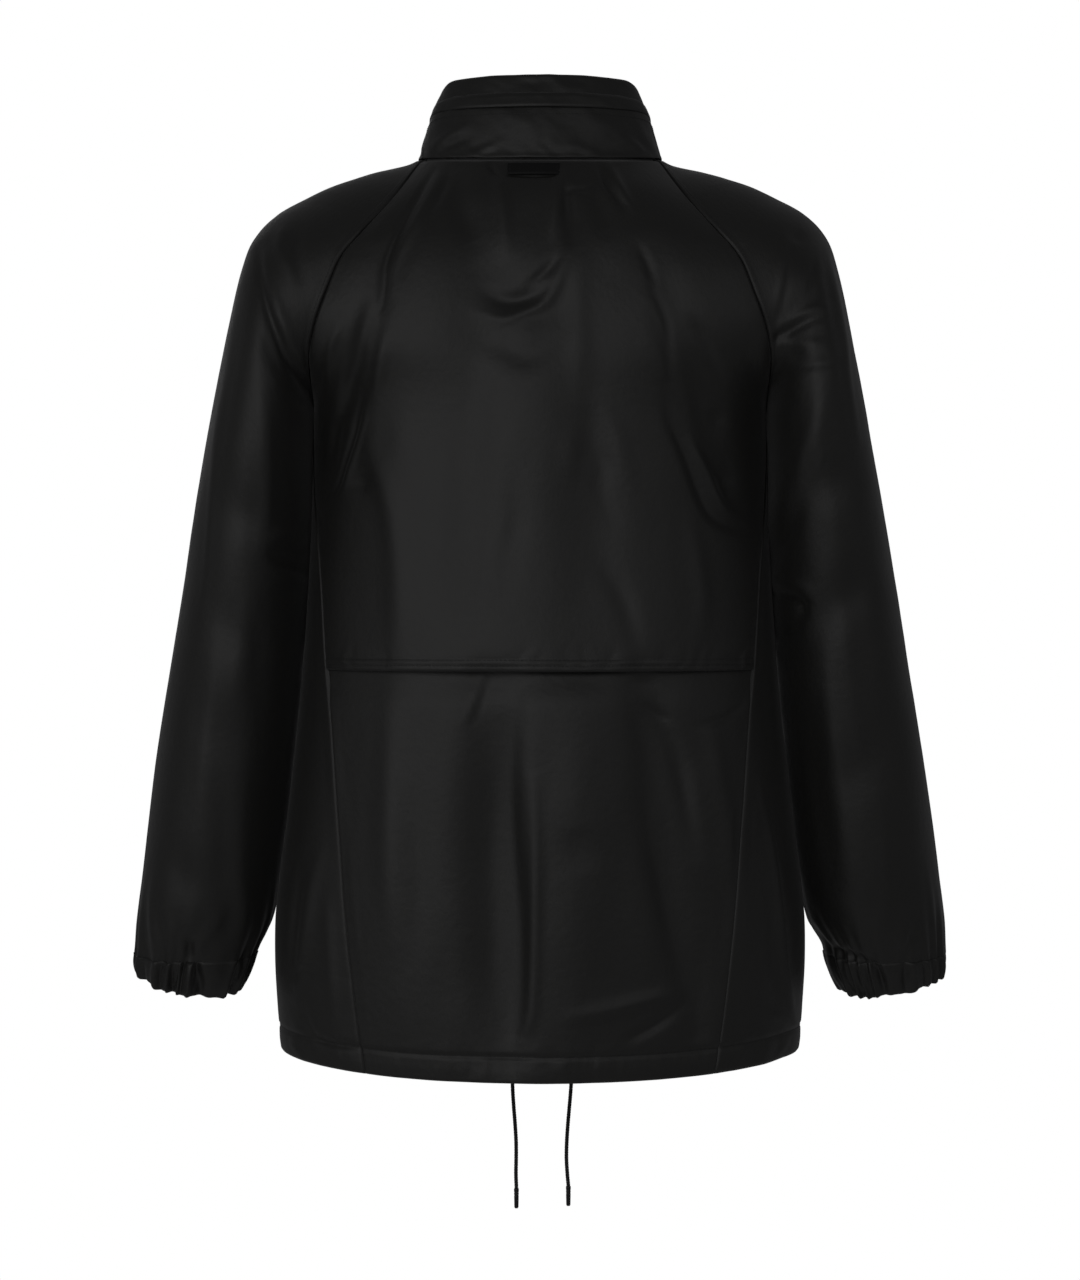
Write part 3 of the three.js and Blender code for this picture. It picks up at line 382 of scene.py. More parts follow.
LEFT_SLEEVE_CREASES = (
    (3.5, -3.5, (219, -82), (215, -109), (209, -133), (202, -151), (196, -166), (187, -183), (180, -196)),
    (5, 2.2, (212, -92), (206, -117), (199, -138), (191, -156), (184, -172)),
    (6, -1.6, (210, -148), (205, -168), (196, -185)),
    (5, 1.5, (199, -60), (201, -82), (194, -102)),
    (5, -1.5, (187, -68), (187, -92), (182, -113)),
    (6, 2.2, (213, -195), (211, -230), (212, -277), (214, -317)),
    (4, 1.4, (237, -137), (246, -191), (253, -238), (258, -308), (264, -362)),
    (3, -2.6, (210, -319), (202, -326), (193, -330), (184, -332)),
    (6, -2, (201, -314), (188, -320)),
    (5, 1.6, (210, -309), (202, -304), (193, -303)),
    (5, 1.5, (207, -333), (194, -340), (184, -342)),
    (8, 1.5, (226, -339), (231, -386), (235, -432)),
    (9, -1.6, (216, -354), (219, -417), (226, -479)),
    (8, 1.4, (253, -386), (261, -463), (268, -533)),
    (9, -1.5, (245, -479), (249, -549), (247, -611)),
    (8, 1.3, (233, -510), (235, -572), (230, -619)),
    (7, -1.3, (280, -549), (283, -603)),
)
RIGHT_SLEEVE_CREASES = (
    (3.5, -3.2, (216, -137), (202, -142), (191, -148), (180, -155), (173, -169), (168, -182)),
    (4, 1.8, (226, -128), (212, -131), (197, -137), (187, -144)),
    (4, -1.6, (207, -152), (223, -150)),
    (4, -1.6, (190, -165), (204, -165)),
    (4, 1.2, (194, -157), (214, -158)),
    (5, -1.8, (185, -173), (206, -174), (228, -172)),
    (3.5, 1.8, (226, -78), (231, -118), (236, -155), (238, -185), (246, -230)),
    (5, -1.2, (221, -90), (225, -121), (228, -152)),
    (9, 3, (226, -169), (212, -221), (199, -258), (186, -295), (177, -320)),
    (6, -2, (205, -274), (193, -305), (185, -323)),
    (3.5, 1.5, (191, -73), (187, -106), (183, -138)),
    (3.5, -1.6, (194, -82), (189, -113), (180, -148)),
    (3, -1.5, (214, -90), (210, -106), (206, -120)),
    (6, -1.3, (201, -65), (201, -79)),
    (3.5, -2.6, (173, -347), (191, -350), (205, -359), (200, -376), (186, -389)),
    (5, 1.8, (179, -337), (198, -342), (214, -353)),
    (9, -1.6, (241, -323), (251, -401), (258, -479)),
    (8, 1.6, (223, -386), (230, -463), (241, -541)),
    (8, -1.5, (210, -432), (219, -510), (232, -580)),
    (7, 1.3, (265, -495), (272, -557), (276, -611)),
)
COLLAR_CREASES = (
    (4, 1.4, (86, 3), (73, 10), (58, 16)),
    (3.5, -1.2, (82, -3), (68, 4), (54, 8)),
    (3.5, -1.3, (-73, 10), (-82, 5), (-87, -1)),
    (4, 1.2, (-57, 2), (-70, 6), (-81, 0)),
    (3.5, 1.2, (57, -7), (43, -3), (32, 2)),
    (3.5, 1.1, (-45, -6), (-31, -3), (-20, 0)),
    (6, -1.2, (3, 1), (-8, -1)),
    (4, -0.8, (19, 50), (8, 49), (-6, 50)),
    (4, 0.7, (-16, 47), (-39, 45)),
)
LEFT_CUFF_CREASES = (
    (4, -4.5, (276, -618), (282, -642), (289, -656), (302, -694)),
    (4, -4.5, (281, -616), (272, -646), (269, -668), (268, -704)),
    (3, 2, (279, -632), (279, -655), (281, -680)),
)
RIGHT_CUFF_CREASES = (
    (4, -4, (220, -618), (232, -632), (258, -640), (274, -660), (277, -696)),
    (3, -2, (296, -610), (290, -640), (293, -690)),
)

# How far each fold or crease has already risen at its ends, as a share of its wave along its line
FOLD_FADE = 0.12
CREASE_FADE = 0.08

# What the depths in the tables are multiplied by
CAPE_CREASE_GAIN = 1.3
LOWER_CREASE_GAIN = 1.25
SLEEVE_FRONT_CREASE_GAIN = 0.8
SLEEVE_FRONT_FOLD_GAIN = 0.7

# Gathers of the elastic ends: how many, how far up the sleeve they reach and how high they stand
GATHER_COUNT = 20
GATHER_REACH = 75
GATHER_SLEEVE_HEIGHT = 1.7
GATHER_CUFF_HEIGHT = 2.6

# Seeds of the noise: some reliefs also use the next few. Where the two sides differ, 1 is the left.
RAGLAN_SEEDS = {1: 11, -1: 16}
SIDE_SEAM_SEEDS = {1: 23, -1: 28}
FRONT_RAGLAN_SEEDS = {1: 38, -1: 36}
NECK_SEED = 31
FRONT_NECK_SEED = 33
ZIP_SEAM_SEED = 35
SLEEVE_NECK_SEED = 39
CAPE_SEED = 40
CAPE_HEM_SEED = 52
LOWER_BACK_SEED = 60
BACK_CASING_SEED = 70
FRONT_CASING_SEED = 74
FRONT_SEEDS = {1: 80, -1: 90}
SLEEVE_SEEDS = {1: 100, -1: 120}
GATHER_SEEDS = {1: 131, -1: 129}
COLLAR_SEED = 150
WELT_SEED = 154
STAND_FOOT_SEED = 155
CUFF_EDGE_SEEDS = {1: 161, -1: 159}

# The drawcord's ends: where each leaves the casing, and places down each as offsets from there
CORD_EXIT_X = {"left": 22, "right": -26}
CORD_RADIUS = 1.6
TIP_RADIUS = 2.1
TIP_LENGTH = 17
TIP_CRIMPS = (0.22, 0.36)
BRAID_PITCH = 4.2
LEFT_CORD = (
    (0, 0, 0), (0.2, -0.4, -8), (0.8, -1.2, -20), (1.2, -1.6, -34), (0.9, -1.4, -48), (0, -0.8, -62),
    (-1.1, -0.2, -76), (-1.9, 0.3, -90), (-2, 0.5, -104), (-1.8, 0.4, -117), (-2.2, 0.2, -129),
)
RIGHT_CORD = (
    (0, 0, 0), (-0.2, -0.5, -8), (-0.6, -1.4, -20), (-0.6, -1.9, -34), (0.2, -1.7, -48), (1.4, -1, -62),
    (2.6, -0.3, -76), (3.5, 0.2, -90), (3.8, 0.4, -104), (3.1, 0.3, -117), (2.2, 0.1, -127),
)


# Numbers and curves


def mix(a, b, share):
    return a + (b - a) * share


def smooth_step(start, end, value):
    t = np.clip((value - start) / (end - start), 0, 1)
    return t * t * (3 - 2 * t)


def bell(distance, width):
    """1 at no distance, falling off softly on both sides over the width."""
    return np.exp(-((distance / width) ** 2))


def unit(vectors):
    return vectors / np.maximum(np.linalg.norm(vectors, axis=-1, keepdims=True), 1e-9)


def by_side(side_sign, left, right):
    return left if side_sign > 0 else right
def hermite(start, end, slope_start, slope_end, t):
    t2 = t * t
    t3 = t2 * t
    return (
        start * (2 * t3 - 3 * t2 + 1)
        + slope_start * (t3 - 2 * t2 + t)
        + end * (3 * t2 - 2 * t3)
        + slope_end * (t3 - t2)
    )


def table_at(rows, at):
    """A table's rows at the places in the array at, each column on a smooth curve."""
    places = rows["at"]
    at = np.asarray(at, dtype=float)
    direction = np.sign(places[1] - places[0])
    last = len(places) - 1
    i = np.searchsorted(places * direction, at * direction, side="right") - 1
    i = np.clip(i, 0, last - 1)
    before = np.maximum(i - 1, 0)
    after = np.minimum(i + 2, last)
    span = places[i + 1] - places[i]
    t = (at - places[i]) / span
    row = {}
    for name, values in rows.items():
        slope_start = (values[i + 1] - values[before]) / (places[i + 1] - places[before]) * span
        slope_end = (values[after] - values[i]) / (places[after] - places[i]) * span
        row[name] = hermite(values[i], values[i + 1], slope_start, slope_end, t)
    return row


def crowded(start, end, steps, crowd=0.5):
    """Places from start to end that lie closer together at both ends."""
    t = np.linspace(0, 1, steps + 1)
    return start + (end - start) * (t - crowd * np.sin(2 * np.pi * t) / (2 * np.pi))


def lattice_noise(x, y, seed):
    """Smooth noise from -1 to 1, with one lattice cell for each unit of x and y."""
    size = 61
    values = np.random.default_rng(seed).uniform(-1, 1, (size, size))
    x, y = np.broadcast_arrays(np.asarray(x, dtype=float), np.asarray(y, dtype=float))
    i = np.floor(x).astype(int)
    j = np.floor(y).astype(int)
    tx = smooth_step(0, 1, x - i)
    ty = smooth_step(0, 1, y - j)
    low = mix(values[i % size, j % size], values[(i + 1) % size, j % size], tx)
    high = mix(values[i % size, (j + 1) % size], values[(i + 1) % size, (j + 1) % size], tx)
    return mix(low, high, ty)


def catmull_rom(points, count):
    """A smooth line of count points through the given ones."""
    points = np.array(points, dtype=float)
    padded = np.concatenate([[2 * points[0] - points[1]], points, [2 * points[-1] - points[-2]]])
    place = np.linspace(0, len(points) - 1 - 1e-9, count)
    i = place.astype(int)
    t = (place - i)[:, None]
    p0, p1, p2, p3 = (padded[i + k] for k in range(4))
    bend = 2 * p0 - 5 * p1 + 4 * p2 - p3
    return 0.5 * (2 * p1 + (p2 - p0) * t + bend * t**2 + (3 * p1 - p0 - 3 * p2 + p3) * t**3)


def measure_along(points):
    """The length of a line of points up to each of them."""
    steps = np.linalg.norm(np.diff(points, axis=0), axis=1)
    return np.concatenate([[0], np.cumsum(steps)])


def point_along(place, along, points):
    """The point, or the direction, at a place measured along a line."""
    return np.array([np.interp(place, along, points[:, k]) for k in range(3)])
def beside_line(x, z, line):
    """Distances from places to a line of points, and how far along it each place lies, from 0 to 1."""
    nearest = np.full(x.shape, np.inf)
    share = np.zeros(x.shape)
    for k, (start, end) in enumerate(zip(line[:-1], line[1:])):
        step = end - start
        t = ((x - start[0]) * step[0] + (z - start[1]) * step[1]) / (step @ step)
        t = np.clip(t, 0, 1)
        distance = np.hypot(x - start[0] - step[0] * t, z - start[1] - step[1] * t)
        closer = distance < nearest
        nearest = np.where(closer, distance, nearest)
        share = np.where(closer, (k + t) / (len(line) - 1), share)
    return nearest, share


def bump_along(line, width, depth, fade_from, x, z):
    """A soft trough or ridge along a line, at places seen from the back or front."""
    x, z = np.broadcast_arrays(x, z)
    height = np.zeros(x.shape)
    reach = 3 * width
    near = (x > line[:, 0].min() - reach) & (x < line[:, 0].max() + reach)
    near &= (z > line[:, 1].min() - reach) & (z < line[:, 1].max() + reach)
    distance, share = beside_line(x[near], z[near], line)
    fade = np.sin(np.pi * mix(fade_from, 1 - fade_from, share))
    height[near] = depth * fade * bell(distance, width)
    return height


def fold_depth(folds, x, z):
    """How far the main folds of a table move the cloth."""
    t = np.linspace(0, 1, FOLD_POINTS)[:, None]
    depth = 0
    for i in range(len(folds["width"])):
        fold = {name: values[i] for name, values in folds.items()}
        start = np.array([fold["startX"], fold["startZ"]])
        bend = np.array([fold["bendX"], fold["bendZ"]])
        end = np.array([fold["endX"], fold["endZ"]])
        line = (1 - t) ** 2 * start + 2 * t * (1 - t) * bend + t**2 * end
        depth = depth + bump_along(line, fold["width"], fold["depth"], FOLD_FADE, x, z)
    return depth


def crease_depth(creases, x, z):
    """How far the finer creases move the cloth."""
    depth = 0
    for width, height, *places in creases:
        line = catmull_rom(places, CREASE_POINTS * len(places))
        depth = depth + bump_along(line, width, height, CREASE_FADE, x, z)
    return depth


# The garment's surfaces, in millimetres. Places are arrays of rows by columns.


def stack(x, y, z):
    return np.stack(np.broadcast_arrays(x, y, z), axis=-1)


def away_from_seams(share):
    return smooth_step(0, 0.16, 1 - np.abs(share))


def neck_point(angle):
    """The neck seam at angles in degrees round from the centre back."""
    back_angle, back_z = NECK_BACK_SEAM
    front_angle, front_z = NECK_FRONT_SEAM
    angle = np.asarray(angle, dtype=float)
    cosine = np.cos(np.radians(angle))
    back_fall = (back_z - NECK_BACK_Z) / (1 - np.cos(np.radians(back_angle)))
    front_fall = (front_z - NECK_FRONT_Z) / (1 + np.cos(np.radians(front_angle)))
    span = np.radians(front_angle - back_angle)
    slope_back = back_fall * np.sin(np.radians(back_angle)) * span
    slope_front = -front_fall * np.sin(np.radians(front_angle)) * span
    t = (angle - back_angle) / (front_angle - back_angle)
    middle = hermite(back_z, front_z, slope_back, slope_front, t)
    z = np.where(angle <= back_angle, NECK_BACK_Z + back_fall * (1 - cosine), middle)
    z = np.where(angle >= front_angle, NECK_FRONT_Z + front_fall * (1 + cosine), z)
    x = NECK_HALF_WIDTH * np.sin(np.radians(angle))
    return stack(x, NECK_MIDDLE_Y + NECK_HALF_DEPTH * cosine, z)


def sleeve_arc(row, side):
    turn = np.radians(row["turn"])
    angle = side * turn
    reach = 1 - np.cos(turn)
    towards = (np.cos(angle) - 1) / reach
    across = np.sin(angle)
    x = row["outerX"] + (row["outerX"] - row["innerX"]) * towards + row["leanX"] * across
    y = -row["innerY"] * towards + row["halfDepth"] * across
    z = row["outerZ"] + (row["outerZ"] - row["innerZ"]) * towards + row["leanZ"] * across
    return stack(x, y, z)


def arm_forward(at):
    return ARM_FORWARD * smooth_step(ARM_FORWARD_FROM, SLEEVE_END, at)


def sleeve_base(at, side):
    """The left sleeve's outer surface, eased onto the neck seam near the neck."""
    point = sleeve_arc(table_at(SLEEVE_ROWS, at), side)
    angle = mix(NECK_FRONT_SEAM[0], NECK_BACK_SEAM[0], (side + 1) / 2)
    offset = neck_point(angle) - sleeve_arc(table_at(SLEEVE_ROWS, np.zeros_like(at)), side)
    point = point + offset * (1 - smooth_step(0, NECK_EASE_TO, at))[..., None]
    point[..., 1] -= arm_forward(at)
    return point


def upper_point(at, share, face):
    """One side of the back above the underarms or of the front: share runs from 0 at the centre to 1."""
    row = table_at(UPPER_ROWS, at)
    turn = np.radians(row[face + "Turn"])
    seam = sleeve_base(at, np.full_like(at, 1.0 if face == "back" else -1.0))
    bend = (1 - np.cos(share * turn)) / (1 - np.cos(turn))
    return stack(
        seam[..., 0] * np.sin(share * turn) / np.sin(turn),
        mix(row[face + "Y"], seam[..., 1], bend),
        mix(row[face + "Z"], seam[..., 2], bend),
    )


def lower_point(z, angle):
    """The body below the underarms at heights and angles round from the centre back."""
    row = table_at(LOWER_ROWS, np.maximum(z, HEM_Z))
    cosine = np.cos(np.radians(angle))
    sine = np.sin(np.radians(angle))
    down = (UNDERARM_Z - z) / BODY_LENGTH
    dip = HEM_SIDE_RISE * sine**4 - HEM_BACK_DIP * np.maximum(cosine, 0) ** 2
    depth = np.where(cosine > 0, row["back"], row["front"])
    return stack(row["halfWidth"] * sine, BODY_MIDDLE_Y + depth * cosine, z + dip * down * down)


def height_of_row(at):
    return UNDERARM_Z - (at - 1) * BODY_LENGTH


def row_of_height(z):
    return 1 + (UNDERARM_Z - z) / BODY_LENGTH


def side_seam_angle(z):
    return table_at(LOWER_ROWS, z)["sideSeam"]


def move_out(point, distance):
    """Moves body points straight out from, or in to, the body's middle line."""
    out = point - np.array([0, BODY_MIDDLE_Y, 0])
    out[..., 2] = 0
    return point + unit(out) * np.asarray(distance)[..., None]


def body_point(at, share, face):
    """One side of the body, with the part below the underarms."""
    upper = upper_point(np.minimum(at, 1), share, face)
    z = height_of_row(np.maximum(at, 1))
    seam = side_seam_angle(z)
    angle = share * seam if face == "back" else 180 - share * (180 - seam)
    return np.where((at <= 1)[..., None], upper, lower_point(z, angle))


def back_point(at, share):
    """The back's outer surface: share runs from -1 at the right seam to 1 at the left seam."""
    at, share = np.broadcast_arrays(at, share)
    point = body_point(at, np.abs(share), "back")
    point[..., 0] *= np.where(share < 0, -1, 1)
    folds = fold_depth(BACK_FOLDS, point[..., 0], point[..., 2])
    return move_out(point, folds * away_from_seams(share))


def front_point(at, share, side_sign):
    """A front's outer surface: share runs from 0 at the centre to 1 at its seam."""
    at, share = np.broadcast_arrays(at, share)
    point = body_point(at, share, "front")
    point[..., 0] *= side_sign
    forward = BODY_MIDDLE_Y - point[..., 1]
    folds = np.where(forward > 0, fold_depth(FRONT_FOLDS, point[..., 0], point[..., 2]), 0)
    fade = smooth_step(0.05, 0.2, share) * away_from_seams(share)
    return move_out(point, folds * fade * smooth_step(0, 50, forward))


def cape_point(at, share):
    """The cape stands off the lower back towards its free hem."""
    point = back_point(at, share)
    lift = CAPE_LIFT * smooth_step(CAPE_LIFT_FROM_Z, CAPE_HEM_Z, point[..., 2])
    return move_out(point, lift * (1 - np.abs(share) ** 4))


def lower_back_point(at, share):
    """The lower back lies inside the cape where they overlap."""
    point = back_point(at, share)
    covered = smooth_step(CAPE_HEM_Z - 30, CAPE_HEM_Z - 2, point[..., 2])
    return move_out(point, -covered * (CLOTH + LAYER_GAP))


def sleeve_point(at, side, side_sign):
    """A sleeve's outer surface: side runs from -1 at the front seam to 1 at the back seam."""
    at, side = np.broadcast_arrays(at, side)
    row = table_at(SLEEVE_ROWS, at)
    point = sleeve_base(at, side)
    middle = stack(
        (row["outerX"] + row["innerX"]) / 2, -arm_forward(at), (row["outerZ"] + row["innerZ"]) / 2
    )
    out = unit(point - middle)
    folds = by_side(side_sign, LEFT_SLEEVE_FOLDS, RIGHT_SLEEVE_FOLDS)
    facing = np.abs(np.sin(side * np.radians(row["turn"])))
    depth = fold_depth(folds, point[..., 0], point[..., 2]) * facing * away_from_seams(side)
    point = point + out * (depth * np.where(side > 0, 1, SLEEVE_FRONT_FOLD_GAIN))[..., None]
    point[..., 0] *= side_sign
    return point


def collar_point(angle, share):
    """The collar's outer surface: angle round from the centre back, share from its foot to its top."""
    angle, share = np.broadcast_arrays(angle, share)
    foot = neck_point(np.abs(angle))
    cosine = np.cos(np.radians(angle))
    sine = np.sin(np.radians(np.abs(angle)))
    top = stack(
        COLLAR_TOP_HALF_WIDTH * sine,
        COLLAR_TOP_MIDDLE_Y + COLLAR_TOP_HALF_DEPTH * cosine,
        mix(COLLAR_TOP_FRONT_Z, COLLAR_TOP_BACK_Z, smooth_step(-1.25, 0.55, cosine)),
    )
    point = foot + (top - foot) * share[..., None]
    bulge = COLLAR_BULGE * np.sin(np.pi * share)
    point[..., 0] += bulge * sine
    point[..., 1] += bulge * cosine
    point[..., 0] *= np.where(angle < 0, -1, 1)
    return point


def cuff_point(u, at, side_sign):
    row = table_at(CUFF_ROWS, at)
    angle = u * 2 * np.pi
    half_width = (row["outerX"] - row["innerX"]) / 2
    x = (row["outerX"] + row["innerX"]) / 2 + half_width * np.cos(angle)
    y = row["halfDepth"] * np.sin(angle) - ARM_FORWARD
    z = (row["outerZ"] + row["innerZ"]) / 2 - CUFF_DROP
    z = z + (row["outerZ"] - row["innerZ"]) / 2 * np.cos(angle) + row["leanZ"] * np.sin(angle)
    return stack(side_sign * x, y, z)


def inset(row_point, distance):
    """The share at which each row is a distance from its seam. A negative distance is past the seam."""
    step = 0.02
    length = np.linalg.norm(row_point(1.0) - row_point(1 - step), axis=-1) / step
    return 1 - distance / length


def with_tucks(row_point, share, left, right):
    """Shares across each row from seam to seam, with seam allowances of the given widths past them."""
    columns = [share * inset(row_point, SEAM_GAP / 2)]
    if left is not None:
        columns = [-inset(row_point, -left), -inset(row_point, -TUCK_STEP)] + columns
    if right is not None:
        columns = columns + [inset(row_point, -TUCK_STEP), inset(row_point, -right)]
    rows = max(len(column) for column in columns)
    return np.concatenate([np.broadcast_to(column, (rows, column.shape[1])) for column in columns], axis=1)


def beside_centre(row_point, distance):
    """The share at which each row is a distance from the centre line."""
    near = 0.05
    return distance * near / np.abs(row_point(near)[..., 0])


def row_points(point, at, *more):
    """A function that gives the point of every row at one share across it."""
    return lambda share: point(at, np.full_like(at, share), *more)
# Panels: grids of points with the distances to their edges


class Panel:
    """A piece of cloth as rows by columns of points on its outer surface."""

    def __init__(self, points, facing, ring=False, tucks=(0, 0, 0, 0)):
        """tucks are the rows and columns of seam allowance at the left, right, top and bottom."""
        self.points = points
        self.facing = facing
        self.ring = ring
        left, right, top, bottom = tucks
        across = np.linalg.norm(np.diff(points, axis=1), axis=-1)
        down = np.linalg.norm(np.diff(points, axis=0), axis=-1)
        across = np.pad(np.cumsum(across, axis=1), ((0, 0), (1, 0)))
        down = np.pad(np.cumsum(down, axis=0), ((1, 0), (0, 0)))
        last_column = across.shape[1] - 1 - right
        last_row = len(down) - 1 - bottom
        self.from_left = across - across[:, left : left + 1]
        self.from_right = across[:, last_column : last_column + 1] - across
        self.from_top = down - down[top : top + 1]
        self.from_bottom = down[last_row : last_row + 1] - down
        self.seams = np.minimum(self.from_left, self.from_right)
        edges = np.minimum(self.seams, np.minimum(self.from_top, self.from_bottom))
        self.tucked = edges < -0.01 * SEAM_GAP

    def normals(self):
        across = np.gradient(self.points, axis=1)
        if self.ring:
            wrapped = self.points[:, 1] - self.points[:, -2]
            across[:, 0] = wrapped
            across[:, -1] = wrapped
        down = np.gradient(self.points, axis=0)
        return unit(np.cross(across, down) * self.facing)

    def raise_by(self, height):
        """Moves the points out along the surface's normals, and the seam allowances in."""
        height = height - TUCK_DROP * self.tucked
        self.points = self.points + self.normals() * height[..., None]

    def ease_underarm(self):
        """Rounds the bend between the rows above and below the underarm level, away from the seams."""
        middle = self.from_top[:, self.points.shape[1] // 2]
        spacing = np.gradient(middle)
        blur = np.exp(-(((middle[:, None] - middle[None, :]) / UNDERARM_EASE) ** 2)) * spacing
        blur = blur / blur.sum(axis=1, keepdims=True)
        eased = np.einsum("ij,jkl->ikl", blur, self.points)
        near = np.exp(-(((self.points[..., 2] - UNDERARM_Z) / (2.5 * UNDERARM_EASE)) ** 2))
        near = near * smooth_step(3, 26, self.seams)
        self.points = mix(self.points, eased, near[..., None])

    def loose(self, from_top=LOOSE_FROM_SEAM):
        """0 at the seams, which hold the cloth, and 1 where it is free to crease."""
        return smooth_step(0, LOOSE_FROM_SEAM, self.seams) * smooth_step(0, from_top, self.from_top)


def new_mesh(name, vertices, faces, material, uv=None, smooth=True):
    """A mesh object from points in millimetres."""
    mesh = bpy.data.meshes.new(name)
    places = (np.asarray(vertices) * MM).tolist()
    mesh.from_pydata(places, [], [tuple(int(i) for i in face) for face in faces])
    if uv is not None:
        corners = np.empty(len(mesh.loops), dtype=np.int32)
        mesh.loops.foreach_get("vertex_index", corners)
        layer = mesh.uv_layers.new(name="UVMap")
        layer.uv.foreach_set("vector", np.asarray(uv)[corners].astype(np.float32).ravel())
    if smooth:
        mesh.shade_smooth()
    else:
        mesh.shade_flat()
    mesh.materials.append(material)
    obj = bpy.data.objects.new(name, mesh)
    bpy.context.collection.objects.link(obj)
    return obj


def cloth_object(name, panel, cloth, material):
    """A closed thin shell: the panel's surface, an inner surface and the edges between them."""
    rows, columns = panel.points.shape[:2]
    thickness = np.broadcast_to(cloth, (rows, columns))[..., None]
    inner = panel.points - panel.normals() * thickness
    if panel.ring:
        columns -= 1
    outer = panel.points[:, :columns].reshape(-1, 3)
    inner = inner[:, :columns].reshape(-1, 3)
    count = len(outer)
    middle = rows // 2
    u = np.broadcast_to(panel.from_left[middle, :columns], (rows, columns))
    v = np.broadcast_to(panel.from_top[:, panel.points.shape[1] // 2][:, None], (rows, columns))
    uv = np.stack([u, v], axis=-1).reshape(-1, 2)
    index = np.arange(count).reshape(rows, columns)
    if panel.ring:
        index = np.concatenate([index, index[:, :1]], axis=1)
    a, b = index[:-1, :-1], index[:-1, 1:]
    c, d = index[1:, 1:], index[1:, :-1]
    faces = [np.stack([a, b, c, d], axis=-1).reshape(-1, 4)]
    faces.append(np.stack([a, d, c, b], axis=-1).reshape(-1, 4) + count)
    edges = [(index[0], True), (index[-1], False)]
    if not panel.ring:
        edges += [(index[:, 0], False), (index[:, -1], True)]
    for edge, backwards in edges:
        first, second = (edge[1:], edge[:-1]) if backwards else (edge[:-1], edge[1:])
        faces.append(np.stack([first, second, second + count, first + count], axis=-1))
    faces = np.concatenate(faces)
    if panel.facing < 0:
        faces = faces[:, ::-1]
    return new_mesh(name, np.concatenate([outer, inner]), faces, material, np.concatenate([uv, uv]))


def declare(obj, slot, node=None, body="jacket"):
    """Puts a piece on its body, and in the place of a solid where one is named. Its slot is not used."""
    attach(obj, body)
    if node:
        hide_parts(node)


# Relief of seams, hems and slack cloth, in millimetres outwards

GROOVE_DEPTH = 0.8
GROOVE_WIDTH = 0.9
PUCKER_HEIGHT = 0.42
PUCKER_LENGTH = 8.5
PUCKER_REACH = 10
SLOW_HEIGHT = 0.5
SLOW_LENGTH = 27
SLOW_REACH = 22
STRIP_HEIGHT = 0.55
CORD_CHANNEL_AT = 9
PRESSED_FROM_Z = -350
PRESSED_TO_Z = -420


def seam_relief(distance, along, seed, stitched=False):
    """A sewn seam: a groove, puckers across it and, if stitched, a raised strip to the topstitching."""
    groove = -GROOVE_DEPTH * bell(distance, GROOVE_WIDTH)
    pucker = PUCKER_HEIGHT * lattice_noise(along / PUCKER_LENGTH, 0.5, seed)
    pucker = pucker * np.exp(-distance / PUCKER_REACH)
    slow = SLOW_HEIGHT * lattice_noise(along / SLOW_LENGTH, 3.5, seed + 1)
    slow = slow * np.exp(-distance / SLOW_REACH)
    relief = groove + (pucker + slow) * smooth_step(0, 1.5, distance)
    if stitched:
        strip = smooth_step(0.5, 1.4, distance) * (1 - smooth_step(TOPSTITCH_AT, TOPSTITCH_AT + 2, distance))
        relief = relief + STRIP_HEIGHT * strip - 0.3 * bell(distance - TOPSTITCH_AT, 0.8)
    return relief


def hem_relief(distance, along, seed, stitch_at, wave, height):
    """A turned hem: double cloth up to its stitching, with puckers, and a rounded fold at the edge."""
    fold = -0.9 * bell(distance, 0.8)
    raised = 0.5 * (1 - smooth_step(stitch_at - 0.4, stitch_at + 1.4, distance))
    dent = -0.45 * bell(distance - stitch_at, 1.0)
    shift = 0.6 * lattice_noise(distance / 9, along / 40, seed + 2)
    pucker = height * lattice_noise(along / wave + shift, 0.5, seed)
    return fold + raised + dent + pucker * bell(distance - stitch_at, 1.1 * stitch_at)


def casing_relief(panel, along, seed):
    """The drawcord's casing: puckered double cloth, fuller round the cord and drawn in at the stitching."""
    distance = panel.from_bottom
    full = 0.5 * bell(distance - CORD_CHANNEL_AT, 6.5)
    shift = 0.7 * lattice_noise(distance / 12, along / 45, seed + 3)
    wave = lattice_noise(along / 13 + shift, 0.5, seed) + 0.5 * lattice_noise(along / 6.5 + shift, 4.5, seed)
    fine = 0.45 * lattice_noise(along / 3.8 + 2 * shift, 8.5, seed + 1)
    nearer_centre = 0.65 + 0.6 * bell(along, 70)
    pucker = (0.85 * wave + fine) * bell(distance - 13, 13) * nearer_centre
    dent = -1.2 * bell(distance - CASING_HEIGHT, 1.9)
    fold = -1.0 * bell(distance, 0.9)
    return full + pucker + dent + fold


def slack(x, z, seed, strength=1.0):
    """Gentle unevenness of hanging cloth, longer down than across."""
    large = 1.7 * lattice_noise(x / 48 + 7, z / 120, seed)
    medium = 0.55 * lattice_noise(x / 21 + z / 190, z / 60, seed + 1)
    small = 0.12 * lattice_noise(x / 9, z / 16, seed + 2)
    return strength * (large + medium + small)


def pressed_together(z):
    """1 where the sleeve's inner side and the body's side touch, just below the underarm."""
    return smooth_step(UNDERARM_Z + 4, UNDERARM_Z - 6, z) * smooth_step(PRESSED_TO_Z, PRESSED_FROM_Z, z)


def facing_back_or_front(panel):
    """1 where the cloth faces back or front, 0 where it faces a sleeve or the body beside it."""
    return smooth_step(0.2, 0.75, np.abs(panel.normals()[..., 1]))


# Materials


def new_material(name):
    material = bpy.data.materials.new(name)
    material.use_nodes = True
    return material, material.node_tree, material.node_tree.nodes["Principled BSDF"]


def set_values(node, values):
    for name, value in values.items():
        node.inputs[name].default_value = value


